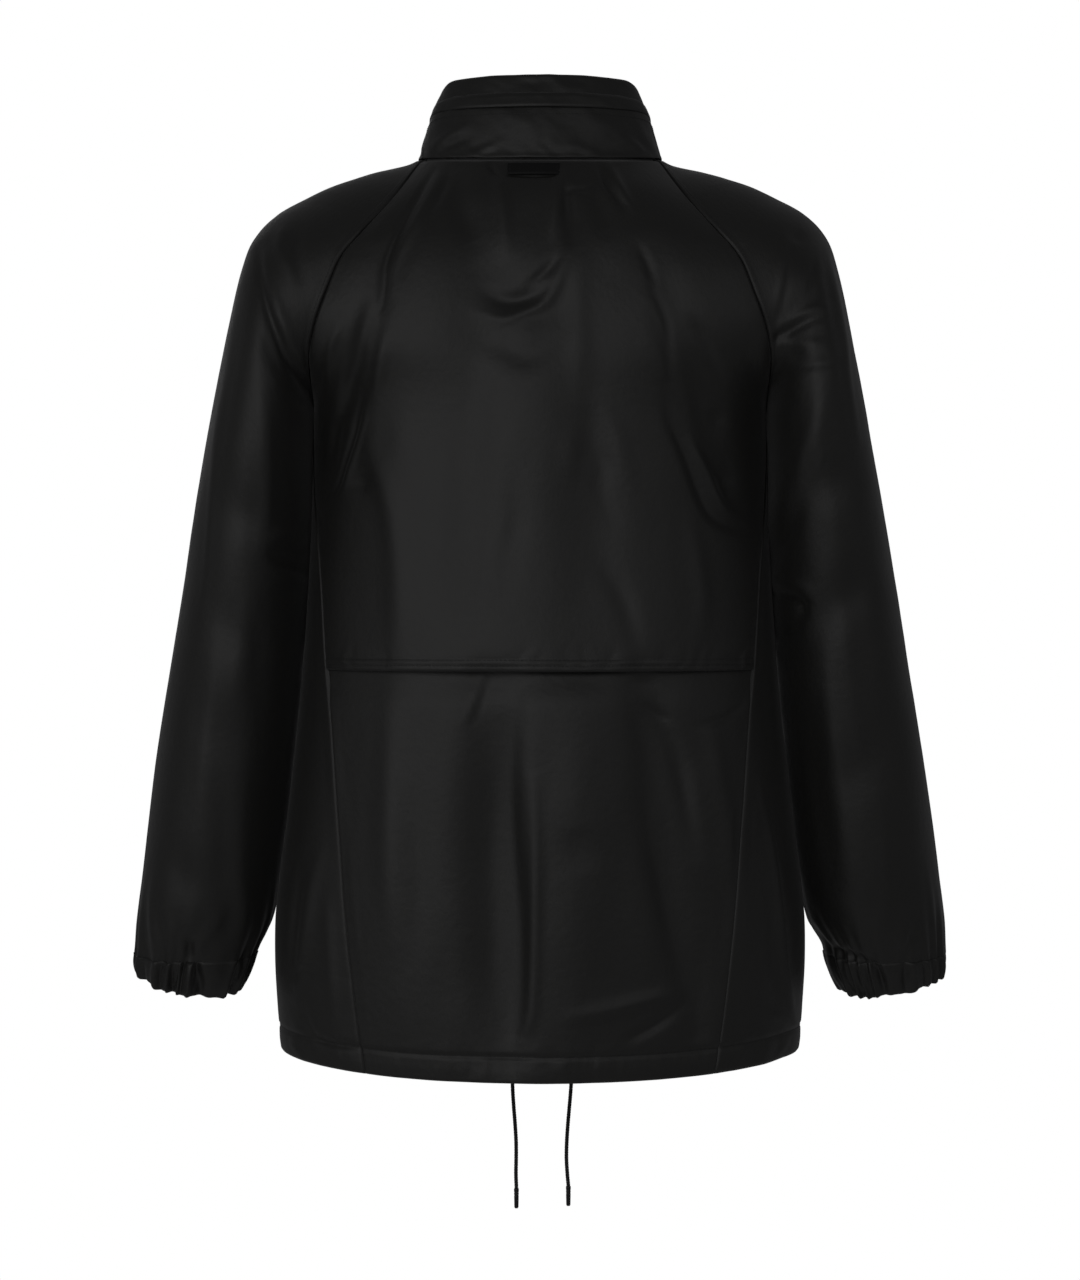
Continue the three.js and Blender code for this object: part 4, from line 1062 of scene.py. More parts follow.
def math_node(tree, operation, first, second=None):
    node = tree.nodes.new("ShaderNodeMath")
    node.operation = operation
    for socket, value in zip(node.inputs, (first, second)):
        if value is None:
            continue
        if isinstance(value, (int, float)):
            socket.default_value = value
        else:
            tree.links.new(value, socket)
    return node.outputs[0]


def noise_node(tree, scale, detail=2):
    node = tree.nodes.new("ShaderNodeTexNoise")
    set_values(node, {"Scale": scale, "Detail": detail})
    return node


def bump_node(tree, height, strength, distance):
    node = tree.nodes.new("ShaderNodeBump")
    set_values(node, {"Strength": strength, "Distance": distance})
    tree.links.new(height, node.inputs["Height"])
    return node


def weave_height(tree, measure, pitch):
    """Over-and-under threads from the cloth's own measure in millimetres."""
    split = tree.nodes.new("ShaderNodeSeparateXYZ")
    tree.links.new(measure, split.inputs[0])
    waves = []
    for axis in ("X", "Y"):
        turns = math_node(tree, "MULTIPLY", split.outputs[axis], 2 * np.pi / pitch)
        waves.append(math_node(tree, "SINE", turns))
    return math_node(tree, "MULTIPLY", *waves)


def nylon_material(name, colour, roughness, pitch, shine=0.5):
    """Woven nylon: black, softly shiny, with a fine weave and a slight crinkle."""
    material, tree, shader = new_material(name)
    set_values(
        shader,
        {
            "Base Color": (*colour, 1),
            "Roughness": roughness,
            "Specular IOR Level": shine,
            "Sheen Weight": 0.24 * shine,
            "Sheen Roughness": 0.45,
        },
    )
    measure = tree.nodes.new("ShaderNodeTexCoord").outputs["UV"]
    weave = bump_node(tree, weave_height(tree, measure, pitch), strength=0.25, distance=0.00006)
    crinkle = noise_node(tree, scale=0.16, detail=5)
    tree.links.new(measure, crinkle.inputs["Vector"])
    soft = bump_node(tree, crinkle.outputs["Fac"], strength=0.35, distance=0.0007)
    tree.links.new(weave.outputs["Normal"], soft.inputs["Normal"])
    tree.links.new(soft.outputs["Normal"], shader.inputs["Normal"])
    return material


def plain_material(name, colour, roughness, metallic=0.0):
    """Lacquer, metal or plastic with a faint grain."""
    material, tree, shader = new_material(name)
    set_values(shader, {"Base Color": (*colour, 1), "Roughness": roughness, "Metallic": metallic})
    grain = noise_node(tree, scale=900)
    bump = bump_node(tree, grain.outputs["Fac"], strength=0.1, distance=0.0002)
    tree.links.new(bump.outputs["Normal"], shader.inputs["Normal"])
    return material


SHELL = nylon_material("black_nylon", (0.0102, 0.01, 0.009), roughness=0.46, pitch=0.5)
TAPE = nylon_material("black_tape", (0.005, 0.005, 0.005), roughness=0.6, pitch=0.9, shine=0.25)
CORD = nylon_material("braided_cord", (0.009, 0.009, 0.0095), roughness=0.65, pitch=1.2)
THREAD = plain_material("sewing_thread", (0.012, 0.012, 0.0125), roughness=0.6)
METAL = plain_material("lacquered_metal", (0.02, 0.02, 0.021), roughness=0.3, metallic=0.6)
TEETH = plain_material("zip_teeth", (0.014, 0.014, 0.015), roughness=0.35)
PLASTIC = plain_material("cord_tip", (0.012, 0.012, 0.012), roughness=0.28)


def sew(name, node, panel, cloth=CLOTH, material=SHELL, slot="shell", **sheet):
    obj = cloth_object(name, panel, cloth, material)
    declare(obj, slot, node)


# Stitches


class Stitches:
    """Sewing gathered into one mesh of small raised beads."""

    def __init__(self):
        self.vertices = []
        self.faces = []

    def line(self, points, normals):
        """Stitches along points on the cloth, given with the cloth's normals there."""
        along = measure_along(points)
        pitch = STITCH_LENGTH + STITCH_GAP
        count = int((along[-1] - STITCH_LENGTH) // pitch)
        for start in (np.arange(max(count, 0)) + 0.25) * pitch:
            up = point_along(start + STITCH_LENGTH / 2, along, normals)
            end = point_along(start + STITCH_LENGTH, along, points)
            self.bead(point_along(start, along, points), end, up)

    def bead(self, start, end, up):
        """One stitch: rings of three points, the end ones narrow and pressed into the cloth."""
        side = unit(np.cross(unit(end - start), up))
        first = len(self.vertices)
        for share, spread, height in STITCH_RINGS:
            place = mix(start, end, share)
            half = side * (STITCH_WIDTH / 2 * spread)
            foot = up * (height - STITCH_SINK)
            self.vertices.append(place - half + foot)
            self.vertices.append(place + up * (height + STITCH_HEIGHT * spread))
            self.vertices.append(place + half + foot)
        for ring in range(len(STITCH_RINGS) - 1):
            for k in range(2):
                a = first + ring * 3 + k
                self.faces.append((a, a + 1, a + 4, a + 3))

    def build(self, name):
        declare(new_mesh(name, self.vertices, self.faces, THREAD), "trim")


stitches = Stitches()


def stitch_beside(panel, distances, distance, rows=(0.0, 1.0), at_end=False):
    """Sews down a panel at a distance from one of its sides or, with at_end, across it beside an end."""
    points = panel.points
    normals = panel.normals()
    tucked = panel.tucked
    if at_end:
        points = points.transpose(1, 0, 2)
        normals = normals.transpose(1, 0, 2)
        distances = distances.T
        tucked = tucked.T
    first, last = (round(share * (len(points) - 1)) for share in rows)
    places = []
    ups = []
    for j in range(first, last + 1):
        order = np.argsort(distances[j])
        near = distances[j][order]
        if near[-1] < distance or tucked[j].all():
            continue
        places.append(point_along(distance, near, points[j, order]))
        ups.append(point_along(distance, near, normals[j, order]))
    places = np.array(places)
    ups = np.array(ups)
    stitches.line(places + ups * STITCH_LIFT, ups)


# The pieces


def panel_rows(above, below, end):
    """Rows from the neck seam's allowance to the underarm level, and on to the panel's end."""
    upper = crowded(NECK_EDGE_ROW, 1, above, 0.2)
    return np.concatenate([NECK_TUCK_ROWS, upper, crowded(1, end, below)[1:]])[:, None]


def raglan_allowance(at):
    """A full allowance down the raglan seam, and hardly any below the underarm level."""
    return mix(TUCK, 2 * TUCK_STEP, smooth_step(0.96, 1.0, at))


def hem_cloth(panel):
    """The cloth's thickness: double at the casing."""
    return mix(CLOTH, HEM_CLOTH, 1 - smooth_step(CASING_HEIGHT - 2, CASING_HEIGHT + 1, panel.from_bottom))


def build_cape():
    """The raglan seams' and the neck seam's allowances lie under the sleeves and the collar."""
    above, below, across = CAPE_STEPS
    at = panel_rows(above, below, row_of_height(CAPE_HEM_Z))
    allowance = raglan_allowance(at)
    columns = crowded(-1, 1, across)[None, :]
    share = with_tucks(row_points(cape_point, at), columns, allowance, allowance)
    panel = Panel(cape_point(at, share), 1, tucks=(2, 2, 2, 0))
    panel.ease_underarm()
    x, _, z = np.moveaxis(panel.points, -1, 0)
    loose = panel.loose()
    height = CAPE_CREASE_GAIN * crease_depth(CAPE_CREASES, x, z) * loose
    height += slack(x, z, CAPE_SEED, 0.6) * loose * facing_back_or_front(panel)
    height += seam_relief(panel.from_right, panel.from_top, RAGLAN_SEEDS[1])
    height += seam_relief(panel.from_left, panel.from_top, RAGLAN_SEEDS[-1])
    height += 0.5 * seam_relief(panel.from_top, panel.from_left, NECK_SEED)
    height -= 1.1 * bell(panel.from_top, 3.2)
    inner_row, outer_row = CAPE_HEM_STITCHES_AT
    height += hem_relief(panel.from_bottom, panel.from_left, CAPE_HEM_SEED, outer_row, wave=6.5, height=0.7)
    height -= 0.35 * bell(panel.from_bottom - inner_row, 0.8)
    panel.raise_by(height)
    for distance in CAPE_HEM_STITCHES_AT:
        stitch_beside(panel, panel.from_bottom, distance, at_end=True)
    sheet = {"flat": (0.40, 0.42), "area": 0.152, "held": "hung", "rests_on": ["collar_stand"]}
    sew("cape", "back_cape", panel, **sheet)


def build_lower_back():
    """The side seams' allowances lie under the fronts."""
    down, across = LOWER_BACK_STEPS
    at = crowded(row_of_height(LOWER_BACK_TOP_Z), 2, down)[:, None]
    bare = smooth_step(row_of_height(CAPE_HEM_Z + 6), row_of_height(CAPE_HEM_Z - 4), at)
    allowance = np.maximum(TUCK * bare, 2 * TUCK_STEP)
    columns = crowded(-1, 1, across)[None, :]
    share = with_tucks(row_points(lower_back_point, at), columns, allowance, allowance)
    panel = Panel(lower_back_point(at, share), 1, tucks=(2, 2, 0, 0))
    x, _, z = np.moveaxis(panel.points, -1, 0)
    height = LOWER_CREASE_GAIN * crease_depth(LOWER_CREASES, x, z) + slack(x, z, LOWER_BACK_SEED, 0.7)
    height = height * panel.loose(from_top=40)
    dip = UNDER_CAPE_DIP * bell(z - CAPE_HEM_Z, UNDER_CAPE_DIP_HALF_HEIGHT)
    height -= dip * bell(x - UNDER_CAPE_DIP_X, UNDER_CAPE_DIP_HALF_WIDTH)
    below = smooth_step(CAPE_HEM_Z, CAPE_HEM_Z - 8, z)
    height += 0.7 * seam_relief(panel.from_right, z, SIDE_SEAM_SEEDS[1]) * below
    height += 0.7 * seam_relief(panel.from_left, z, SIDE_SEAM_SEEDS[-1]) * below
    height += casing_relief(panel, x, BACK_CASING_SEED)
    panel.raise_by(height)
    stitch_beside(panel, panel.from_bottom, CASING_HEIGHT, at_end=True)
    sheet = {"flat": (0.36, 0.39), "area": 0.128, "held": "hung", "rests_on": ["back_cape"]}
    sew("lower_back", "back_lower", panel, hem_cloth(panel), **sheet)


def build_front(side_sign):
    """The allowances at the neck and the raglan seam lie under the collar and the sleeve."""
    side = by_side(side_sign, "left", "right")
    above, below, across = FRONT_STEPS
    at = panel_rows(above, below, 2)
    row_point = row_points(front_point, at, side_sign)
    start = beside_centre(row_point, ZIP_HALF_WIDTH + SEAM_GAP)
    end = inset(row_point, SEAM_GAP / 2)
    past = [inset(row_point, -TUCK_STEP), inset(row_point, -raglan_allowance(at))]
    share = np.concatenate([mix(start, end, crowded(0, 1, across)[None, :]), *past], axis=1)
    panel = Panel(front_point(at, share, side_sign), -side_sign, tucks=(0, 2, 2, 0))
    panel.ease_underarm()
    x, y, z = np.moveaxis(panel.points, -1, 0)
    loose = panel.loose()
    height = crease_depth(FRONT_CREASES, x, z) * loose * smooth_step(0, 60, -y)
    side_creases = by_side(side_sign, LEFT_SIDE_CREASES, RIGHT_SIDE_CREASES)
    height += crease_depth(side_creases, np.abs(x), z) * loose * smooth_step(-20, 20, y)
    height += slack(x + y, z, FRONT_SEEDS[side_sign], 0.9) * loose * facing_back_or_front(panel)
    upper = 1 - smooth_step(UNDERARM_Z + 12, UNDERARM_Z - 12, z)
    uncovered = smooth_step(CAPE_HEM_Z, CAPE_HEM_Z - 8, height_of_row(at))
    raglan = seam_relief(panel.from_right, panel.from_top, FRONT_RAGLAN_SEEDS[side_sign]) * upper
    sewn_side = seam_relief(panel.from_right, z, SIDE_SEAM_SEEDS[side_sign])
    height += raglan + 0.5 * sewn_side * uncovered
    height += seam_relief(panel.from_top, panel.from_left, FRONT_NECK_SEED)
    height += seam_relief(panel.from_left, panel.from_top, ZIP_SEAM_SEED, stitched=True)
    height += casing_relief(panel, panel.from_left, FRONT_CASING_SEED)
    outward = smooth_step(0.8, 0.97, side_sign * panel.normals()[..., 0])
    height += 0.7 * pressed_together(z) * outward
    panel.raise_by(height)
    stitch_beside(panel, panel.from_left, TOPSTITCH_AT)
    stitch_beside(panel, panel.from_bottom, CASING_HEIGHT, at_end=True)
    sheet = {"flat": (0.34, 0.70), "area": 0.188, "held": "hung", "rests_on": ["collar_stand"]}
    sew("front_panel_" + side, "front_" + side, panel, hem_cloth(panel), **sheet)


def gathers(u, past, side_sign):
    """Folds that fan out of the elastic: u goes once round and past is the way past the sleeve's end."""
    seed = GATHER_SEEDS[side_sign]
    around = u * GATHER_COUNT
    up = np.maximum(-past, 0)
    down = np.clip(past, 0, 30)
    uneven = smooth_step(0, 0.06, np.minimum(u, 1 - u))
    jitter = 0.9 * lattice_noise(around * 0.45, up / 60, seed) * uneven
    wave = np.cos(2 * np.pi * (around + jitter + 0.15 * np.sin(down / 9)))
    fine = 0.4 * np.cos(2 * np.pi * (2 * around + 2 * jitter)) * smooth_step(-8, 8, past)
    strength = 0.75 + 0.5 * lattice_noise(around * 0.7, 0.5, seed + 1) * uneven
    reach = GATHER_REACH * (1.0 + 0.45 * lattice_noise(around, 2.5, seed + 2) * uneven)
    fade = (1 - smooth_step(0, 1, up / reach)) ** 1.5
    height = mix(GATHER_SLEEVE_HEIGHT, GATHER_CUFF_HEIGHT, smooth_step(-12, 12, past))
    return height * (wave + fine) * strength * fade


def cuff_creases(x, y, z, side_sign):
    """The deep folds that run through the gathered end at the back."""
    creases = by_side(side_sign, LEFT_CUFF_CREASES, RIGHT_CUFF_CREASES)
    return crease_depth(creases, np.abs(x), z) * smooth_step(-20, 0, y + ARM_FORWARD)


def build_sleeve(side_sign):
    """One edge of the underarm seam lies under the other."""
    side = by_side(side_sign, "left", "right")
    above, below, (front_steps, back_steps) = SLEEVE_STEPS
    at = panel_rows(above, below, SLEEVE_END)
    allowance = mix(2 * TUCK_STEP, TUCK, smooth_step(1.0, 1.02, at))
    front_half = crowded(-1, 0, front_steps, 0.3)[:-1]
    back_half = crowded(0, 1, back_steps, 0.3)
    columns = np.concatenate([front_half, back_half])[None, :]
    share = with_tucks(row_points(sleeve_point, at, side_sign), columns, None, allowance)
    panel = Panel(sleeve_point(at, share, side_sign), -side_sign, tucks=(0, 2, 2, 0))
    x, y, z = np.moveaxis(panel.points, -1, 0)
    loose = panel.loose()
    inward = -side_sign * panel.normals()[..., 0]
    back_creases = by_side(side_sign, LEFT_SLEEVE_CREASES, RIGHT_SLEEVE_CREASES)
    front_creases = by_side(side_sign, RIGHT_SLEEVE_CREASES, LEFT_SLEEVE_CREASES)
    at_back = crease_depth(back_creases, np.abs(x), z)
    at_front = SLEEVE_FRONT_CREASE_GAIN * crease_depth(front_creases, np.abs(x), z)
    height = np.where(share > 0, at_back, at_front) * loose * smooth_step(0, 0.1, np.abs(share))
    away = 1 - 0.9 * smooth_step(0.25, 0.8, inward)
    height += slack(np.abs(x) + 1.2 * y, z, SLEEVE_SEEDS[side_sign], 0.8) * loose * away
    pressed = pressed_together(z)
    upper = 1 - smooth_step(UNDERARM_Z + 12, UNDERARM_Z - 12, z[:, -1:])
    for distance, seed in (
        (panel.from_right, RAGLAN_SEEDS[side_sign]),
        (panel.from_left, FRONT_RAGLAN_SEEDS[side_sign]),
    ):
        plain = seam_relief(distance, panel.from_top, seed) * (1 - pressed)
        height += mix(plain, seam_relief(distance, panel.from_top, seed, stitched=True), upper)
    height += 1.3 * pressed * smooth_step(0.8, 0.97, inward)
    height += seam_relief(panel.from_top, panel.from_left, SLEEVE_NECK_SEED)
    height += gathers((share + 1) / 2, -panel.from_bottom, side_sign)
    height += cuff_creases(x, y, z, side_sign)
    height -= 0.5 * bell(panel.from_bottom, 0.9)
    panel.raise_by(height)
    raglan_end = np.searchsorted(at[:, 0], 1) / (len(at) - 1)
    for distances in (panel.from_right, panel.from_left):
        stitch_beside(panel, distances, TOPSTITCH_AT, rows=(0, raglan_end))
    sheet = {"flat": (0.48, 0.76), "area": 0.242, "held": "hung", "rests_on": ["back_cape"]}
    sew("raglan_sleeve_" + side, "sleeve_" + side, panel, **sheet)


def build_cuff(side_sign):
    """The gathered end: its top lies inside the sleeve, whose folds run on through it."""
    side = by_side(side_sign, "left", "right")
    down, around = CUFF_STEPS
    at = np.concatenate([[-0.12], crowded(0, 1, down)])[:, None]
    u = np.linspace(0, 1, around + 1)[None, :]
    panel = Panel(cuff_point(u, at, side_sign), -side_sign, ring=True)
    x, y, z = np.moveaxis(panel.points, -1, 0)
    from_front = np.broadcast_to(np.mod(u + 0.5, 1), x.shape)
    swell = 0.5 * np.sin(np.pi * np.clip(at, 0, 1)) - 0.2 * (1 - smooth_step(0, 0.25, at))
    height = gathers(from_front, panel.from_top, side_sign) + swell
    height += cuff_creases(x, y, z, side_sign)
    height -= 1.2 * bell(panel.from_bottom, 1.0)
    panel.raise_by(height)
    ruffle = lattice_noise(u * CUFF_RUFFLE_COUNT, 0.5, CUFF_EDGE_SEEDS[side_sign])
    panel.points[..., 2] += CUFF_RUFFLE * (ruffle * smooth_step(0.4, 1, at))
    sheet = {"flat": (0.32, 0.022), "area": None, "held": "gathered", "rests_on": ["sleeve_" + side]}
    sew("elastic_cuff_" + side, "cuff_" + side, panel, CUFF_CLOTH, **sheet)


def collar_panel(start, end, lift, steps):
    """A band of the collar from end to end at the zip, between two shares of the collar's height."""
    gap = ZIP_HALF_WIDTH + SEAM_GAP
    share = crowded(start, end, steps)[:, None]
    ends = 180 - np.degrees(gap / collar_point(np.full_like(share, 90.0), share)[..., 0])
    angle = ends * np.linspace(-1, 1, COLLAR_STEPS_ACROSS + 1)[None, :]
    cosine = np.cos(np.radians(angle))
    out = stack(np.sin(np.radians(angle)), cosine, np.zeros_like(angle))
    raised = lift * mix(0.15, 1, np.abs(cosine))
    return Panel(collar_point(angle, share) + out * raised[..., None], -1)


def collar_wrinkles(panel):
    x, y, z = np.moveaxis(panel.points, -1, 0)
    around = panel.from_left
    height = crease_depth(COLLAR_CREASES, x, z) * smooth_step(0, 20, y)
    height += 0.8 * lattice_noise(around / 30, z / 18, COLLAR_SEED) * smooth_step(0, 8, panel.from_top)
    return height + 0.3 * lattice_noise(around / 9, z / 9, COLLAR_SEED + 1)


def build_collar():
    """The stand's foot is seen over the neck seam; its top runs up inside the top band."""
    gap = SEAM_GAP / COLLAR_HEIGHT
    stand = collar_panel(gap / 2, COLLAR_SPLIT - gap / 2, lift=0, steps=30)
    height = 0.3 * seam_relief(stand.from_top, stand.from_left, NECK_SEED)
    height += 0.8 * bell(stand.from_top, 3.0)
    scallops = 0.7 * lattice_noise(stand.from_left / 5.5, 0.5, STAND_FOOT_SEED)
    height += scallops * bell(stand.from_top - 5, 4.5)
    stand.raise_by(height + collar_wrinkles(stand))
    stitch_beside(stand, stand.from_bottom, STAND_STITCHES_AT, at_end=True)
    sheet = {"flat": (0.50, 0.044), "area": 0.0204, "held": "stretched", "rests_on": ["back_cape"]}
    sew("stand_band", "collar_stand", stand, **sheet)

    top = collar_panel(COLLAR_SPLIT + gap / 2, 1, lift=0, steps=20)
    top.raise_by(collar_wrinkles(top) - 1.2 * bell(top.from_bottom, 1.2))
    sheet = {"flat": (0.45, 0.024), "area": 0.0104, "held": "folded", "rests_on": ["collar_stand"]}
    sew("top_band", "collar_top", top, FOLDED_CLOTH, **sheet)

    welt = collar_panel(WELT_FROM, WELT_TO, lift=WELT_LIFT, steps=10)
    height = collar_wrinkles(welt) + 0.25 * lattice_noise(welt.from_left / 11, 0.5, WELT_SEED)
    height -= 0.8 * bell(welt.from_top, 0.8) + 1.6 * bell(welt.from_bottom, 1.6)
    welt.raise_by(height)
    sheet = {"flat": (0.5, 0.012), "area": None, "held": "stretched", "rests_on": ["collar_stand"]}
    sew("zip_welt", "collar_welt", welt, WELT_CLOTH, **sheet)


def build_loop():
    """A short tape, sewn down at both ends and arched between them."""
    at = crowded(*LOOP_ROWS, 12)[:, None]
    u = crowded(0, 1, 60, 0.3)[None, :]
    x = LOOP_MIDDLE_X + mix(-LOOP_HALF_WIDTH, LOOP_HALF_WIDTH, u)
    near = 0.05
    share = x * near / back_point(at, np.full_like(at, near))[..., 0]
    arch = np.sin(np.pi * np.clip(u, 0, 1)) ** 0.6
    base = back_point(np.broadcast_to(at, share.shape), share)
    panel = Panel(move_out(base, LOOP_CLOTH + SEAM_GAP + LOOP_LIFT * arch + np.zeros_like(share)), 1)
    edge = np.minimum(panel.from_top, panel.from_bottom)
    rounded = -0.9 * bell(edge, 1.0) - 0.35 * bell(edge - 3, 0.6)
    panel.raise_by(rounded + 0.12 * np.cos(2 * np.pi * panel.from_left / 1.3))
    for distances in (panel.from_left, panel.from_right):
        stitch_beside(panel, distances, LOOP_STITCHES_AT)
    sheet = {"flat": (0.043, 0.015), "held": "stretched", "rests_on": ["back_cape"]}
    sew("loop_tape", "hanger_loop", panel, LOOP_CLOTH, TAPE, "trim", **sheet)


def zip_line(collar_count=60, front_count=280):
    """Points down the middle of the zip, from the collar's top to the hem."""
    collar = collar_point(np.full(collar_count, 180.0), np.linspace(1, 0, collar_count))
    at = np.linspace(NECK_EDGE_ROW, 2, front_count)
    points = np.concatenate([collar, front_point(at, np.zeros_like(at), 1)])
    points[:, 0] = 0
    return points


def build_zip():
    """The tape's edges are sewn in behind the fronts and the collar."""
    line = zip_line()
    inner = np.linspace(-ZIP_HALF_WIDTH, ZIP_HALF_WIDTH, 7)
    under = ZIP_HALF_WIDTH + TUCK_STEP
    u = np.concatenate([[-under - TUCK, -under], inner, [under, under + TUCK]])
    points = np.repeat(line[:, None, :], len(u), axis=1)
    points[..., 0] = u
    panel = Panel(points, -1, tucks=(2, 2, 0, 0))
    panel.raise_by(np.zeros(points.shape[:2]))
    sheet = {"flat": (0.016, 0.783), "area": 0.0122, "held": "stretched", "rests_on": ["front_left"]}
    sew("zip_tape", "zip_front", panel, ZIP_CLOTH, TAPE, "trim", **sheet)
    build_teeth(line)


def build_teeth(line):
    """Two interlocked rows of moulded teeth."""
    along = measure_along(line)
    start, end = TEETH_ENDS
    vertices = []
    faces = []
    for i, place in enumerate(np.arange(start, along[-1] - end, TEETH_PITCH / 2)):
        centre = point_along(place, along, line)
        down = unit(point_along(place + 1, along, line) - centre)
        out = np.cross(down, [1, 0, 0])
        if out[1] > 0:
            out = -out
        centre = centre + np.array([TOOTH_SHIFT if i % 2 else -TOOTH_SHIFT, 0, 0])
        first = len(vertices)
        for lift, shrink in ((0.0, 1.0), (0.7, 1.0), (1.0, 0.72)):
            for a, b in ((-1, -1), (1, -1), (1, 1), (-1, 1)):
                across = np.array([a * TOOTH_HALF_WIDTH * shrink, 0, 0])
                lengthways = down * (b * TOOTH_HALF_HEIGHT * shrink)
                vertices.append(centre + across + lengthways + out * (lift * TOOTH_DEPTH))
        for level in range(2):
            for k in range(4):
                a = first + level * 4 + k
                b = first + level * 4 + (k + 1) % 4
                faces.append((a, b, b + 4, a + 4))
        faces.append(tuple(first + 8 + k for k in range(4)))
    declare(new_mesh("zip_teeth", vertices, faces, TEETH, smooth=False), "trim")


def build_hardware():
    """The slider and its pull tab keep their solids' shapes, with softened edges."""
    for name, body in (("zip_slider", "jacket"), ("zip_pull", "pull")):
        source = bpy.data.objects[name]
        obj = source.copy()
        obj.data = source.data.copy()
        obj.name = name.replace("zip_", "fitted_")
        bpy.context.collection.objects.link(obj)
        obj.data.materials.clear()
        obj.data.materials.append(METAL)
        bevel = obj.modifiers.new("edges", "BEVEL")
        bevel.width = 0.0003
        bevel.segments = 2
        bevel.limit_method = "ANGLE"
        declare(obj, "dark_metal", name, body)


def tube(name, line, radii, sides, material):
    """A closed tube along a line, with a radius for each ring and side."""
    ahead = unit(np.gradient(line, axis=0))
    side = unit(np.cross(ahead, [0, 1, 0]))
    up = np.cross(side, ahead)
    angle = np.linspace(0, 2 * np.pi, sides, endpoint=False)
    ring = side[:, None, :] * np.cos(angle)[None, :, None] + up[:, None, :] * np.sin(angle)[None, :, None]
    vertices = (line[:, None, :] + ring * radii[..., None]).reshape(-1, 3)
    faces = []
    for j in range(len(line) - 1):
        for i in range(sides):
            k = (i + 1) % sides
            faces.append((j * sides + i, j * sides + k, (j + 1) * sides + k, (j + 1) * sides + i))
    faces.append(tuple(range(sides))[::-1])
    faces.append(tuple((len(line) - 1) * sides + i for i in range(sides)))
    return new_mesh(name, vertices, faces, material)


def cord_exit(side):
    """Where a drawcord end leaves the front hem."""
    exit_x = CORD_EXIT_X[side]
    side_sign = np.sign(exit_x)
    at = np.full((1, 1), 2.0)
    share = beside_centre(row_points(front_point, at, side_sign), abs(exit_x))
    hem = front_point(at, share, side_sign)[0, 0]
    return np.array([exit_x, hem[1] + 1.3, hem[2] - SEAM_GAP])


def build_cord(side, route):
    start = cord_exit(side)
    line = catmull_rom(start + np.array(route), 300)
    along = measure_along(line)
    sides = 24
    angle = np.linspace(0, 2 * np.pi, sides, endpoint=False)
    twist = along[:, None] * 2 * np.pi / BRAID_PITCH
    braid = np.abs(np.sin(2 * angle[None, :] + twist)) + np.abs(np.sin(2 * angle[None, :] - twist))
    radii = CORD_RADIUS - 0.2 + 0.14 * braid
    cord = tube("drawcord_" + side, line, radii, sides, CORD)
    tip = build_tip(side, line[-1])
    declare(cord, "cord", "cord_" + side)


def build_tip(side, end):
    """A crimped plastic sleeve on the cord's end."""
    share = np.linspace(0, 1, 40)
    line = end + np.outer(share, [0, 0, -TIP_LENGTH]) - np.array([0, 0, SEAM_GAP])
    profile = TIP_RADIUS * (1 - 0.16 * share)
    rounded = 0.25 * bell(share, 0.03) + 0.3 * bell(1 - share, 0.03)
    profile = profile * (1 - rounded)
    for crimp in TIP_CRIMPS:
        profile = profile * (1 - 0.1 * bell(share - crimp, 0.03))
    sides = 20
    obj = tube("cord_end_" + side, line, np.repeat(profile[:, None], sides, axis=1), sides, PLASTIC)
    declare(obj, "cord_tip", "tip_" + side)
    return obj


# Camera, light and floor

CAMERA_PLACE = (0, 2.3, -0.3856)
CAMERA_LENS = 80.86
LIGHTS_AIM = (0, 0, -0.36)

# Each light's name, place, size and power
LIGHTS = (
    ("key", (0.45, 2.9, 0.35), (1.4, 0.9), 6.5),
    ("right", (-1.5, 2.4, 0.5), (1.2, 1.0), 2.6),
    ("left", (1.7, 2.3, 0.0), (1.2, 1.3), 5.5),
    ("far_right", (-2.5, 1.2, -0.1), (1.3, 1.6), 0.7),
    ("far_left", (2.5, 1.2, -0.1), (1.3, 1.6), 1.8),
    ("front_side", (0.4, -2.8, 0.4), (2.0, 1.6), 4),
)
FLOOR_RADIUS = 2500
FLOOR_Z = -1600


def build_camera():
    """Level, behind the wearer."""
    data = bpy.data.cameras.new("camera")
    data.lens = CAMERA_LENS
    data.sensor_width = 36
    data.clip_start = 0.1
    data.clip_end = 50
    camera = bpy.data.objects.new("camera", data)
    turned = Matrix.Rotation(np.pi, 4, "Z") @ Matrix.Rotation(np.pi / 2, 4, "X")
    camera.matrix_world = Matrix.Translation(CAMERA_PLACE) @ turned
    bpy.context.collection.objects.link(camera)
    bpy.context.scene.camera = camera


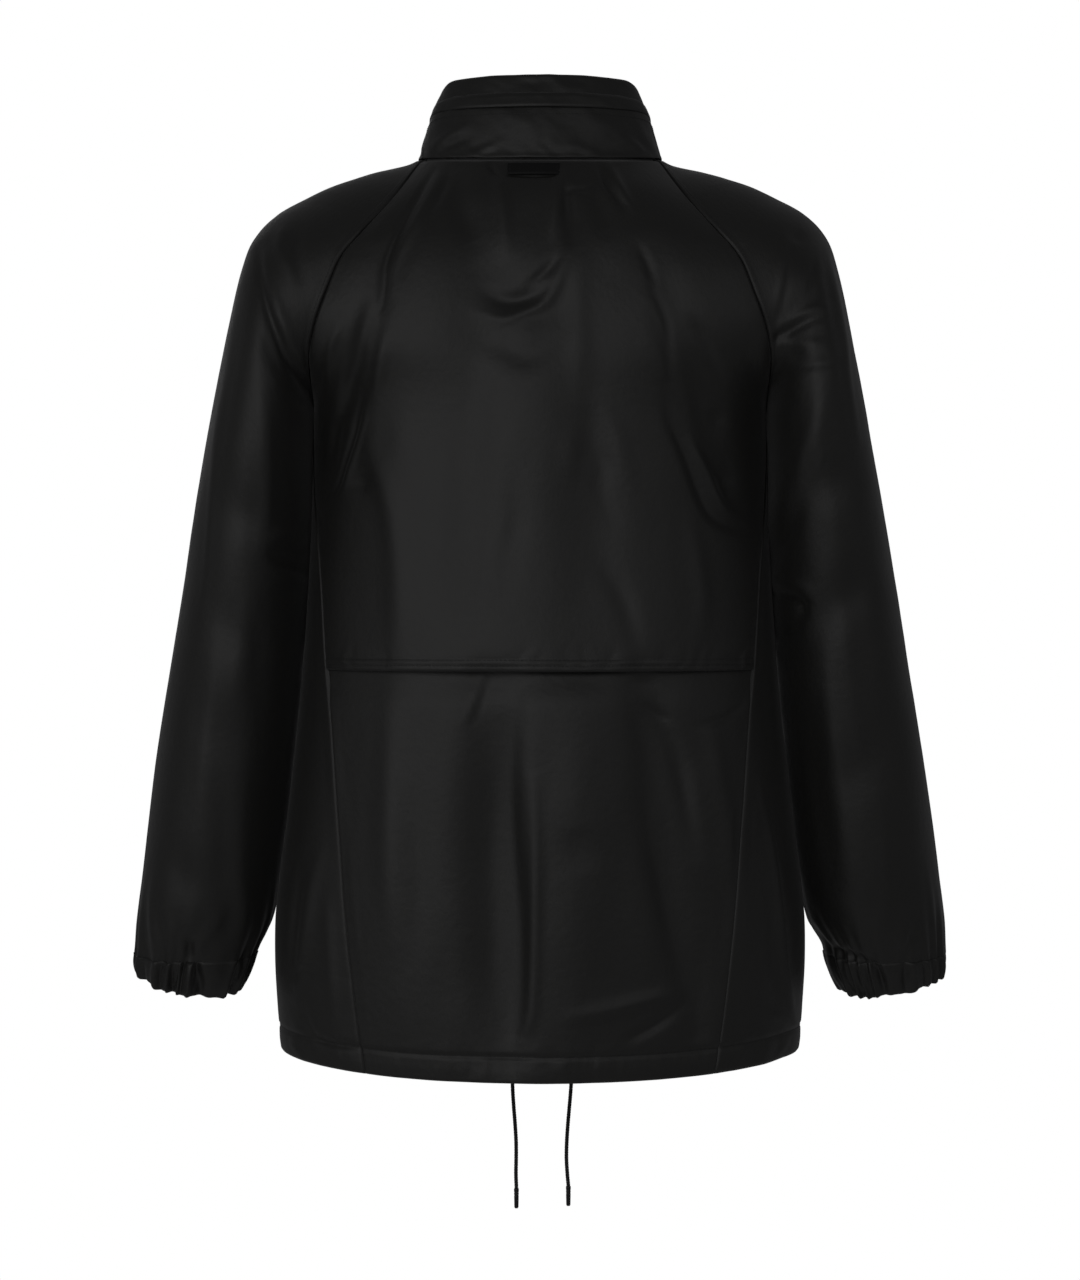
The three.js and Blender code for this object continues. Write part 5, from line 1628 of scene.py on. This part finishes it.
def area_light(name, place, size, power):
    data = bpy.data.lights.new(name, "AREA")
    data.shape = "RECTANGLE"
    data.size, data.size_y = size
    data.energy = power
    light = bpy.data.objects.new(name, data)
    light.location = place
    light.rotation_mode = "QUATERNION"
    light.rotation_quaternion = (Vector(LIGHTS_AIM) - Vector(place)).to_track_quat("-Z", "Y")
    bpy.context.collection.objects.link(light)


def build_world():
    """White behind the object and a dim grey all round for its reflections."""
    world = bpy.data.worlds.new("studio")
    bpy.context.scene.world = world
    world.use_nodes = True
    tree = world.node_tree
    background = tree.nodes["Background"]
    background.inputs["Color"].default_value = (0.09, 0.09, 0.092, 1)
    seen = tree.nodes.new("ShaderNodeBackground")
    seen.inputs["Color"].default_value = (1, 1, 1, 1)
    rays = tree.nodes.new("ShaderNodeLightPath")
    blend = tree.nodes.new("ShaderNodeMixShader")
    tree.links.new(rays.outputs["Is Camera Ray"], blend.inputs[0])
    tree.links.new(background.outputs[0], blend.inputs[1])
    tree.links.new(seen.outputs[0], blend.inputs[2])
    tree.links.new(blend.outputs[0], tree.nodes["World Output"].inputs["Surface"])


def build_floor():
    material, tree, shader = new_material("floor")
    set_values(shader, {"Base Color": (0.85, 0.85, 0.85, 1), "Roughness": 0.9})
    count = 64
    turn = np.linspace(0, 2 * np.pi, count, endpoint=False)
    rim = stack(FLOOR_RADIUS * np.cos(turn), FLOOR_RADIUS * np.sin(turn), FLOOR_Z)
    new_mesh("floor", rim, [tuple(range(count))], material, smooth=False)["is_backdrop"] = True


build_camera()
build_cord("left", LEFT_CORD)
build_cord("right", RIGHT_CORD)
build_cape()
build_lower_back()
for side_sign in (1, -1):
    build_front(side_sign)
    build_sleeve(side_sign)
    build_cuff(side_sign)
build_collar()
build_loop()
build_zip()
build_hardware()
stitches.build("stitching")
for light in LIGHTS:
    area_light(*light)
build_world()
build_floor()
bpy.context.scene.view_settings.view_transform = "Standard"

corners = {"cad": cad_box, "scene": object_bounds()}
{name: [[float(c) for c in corner] for corner in box] for name, box in corners.items()}
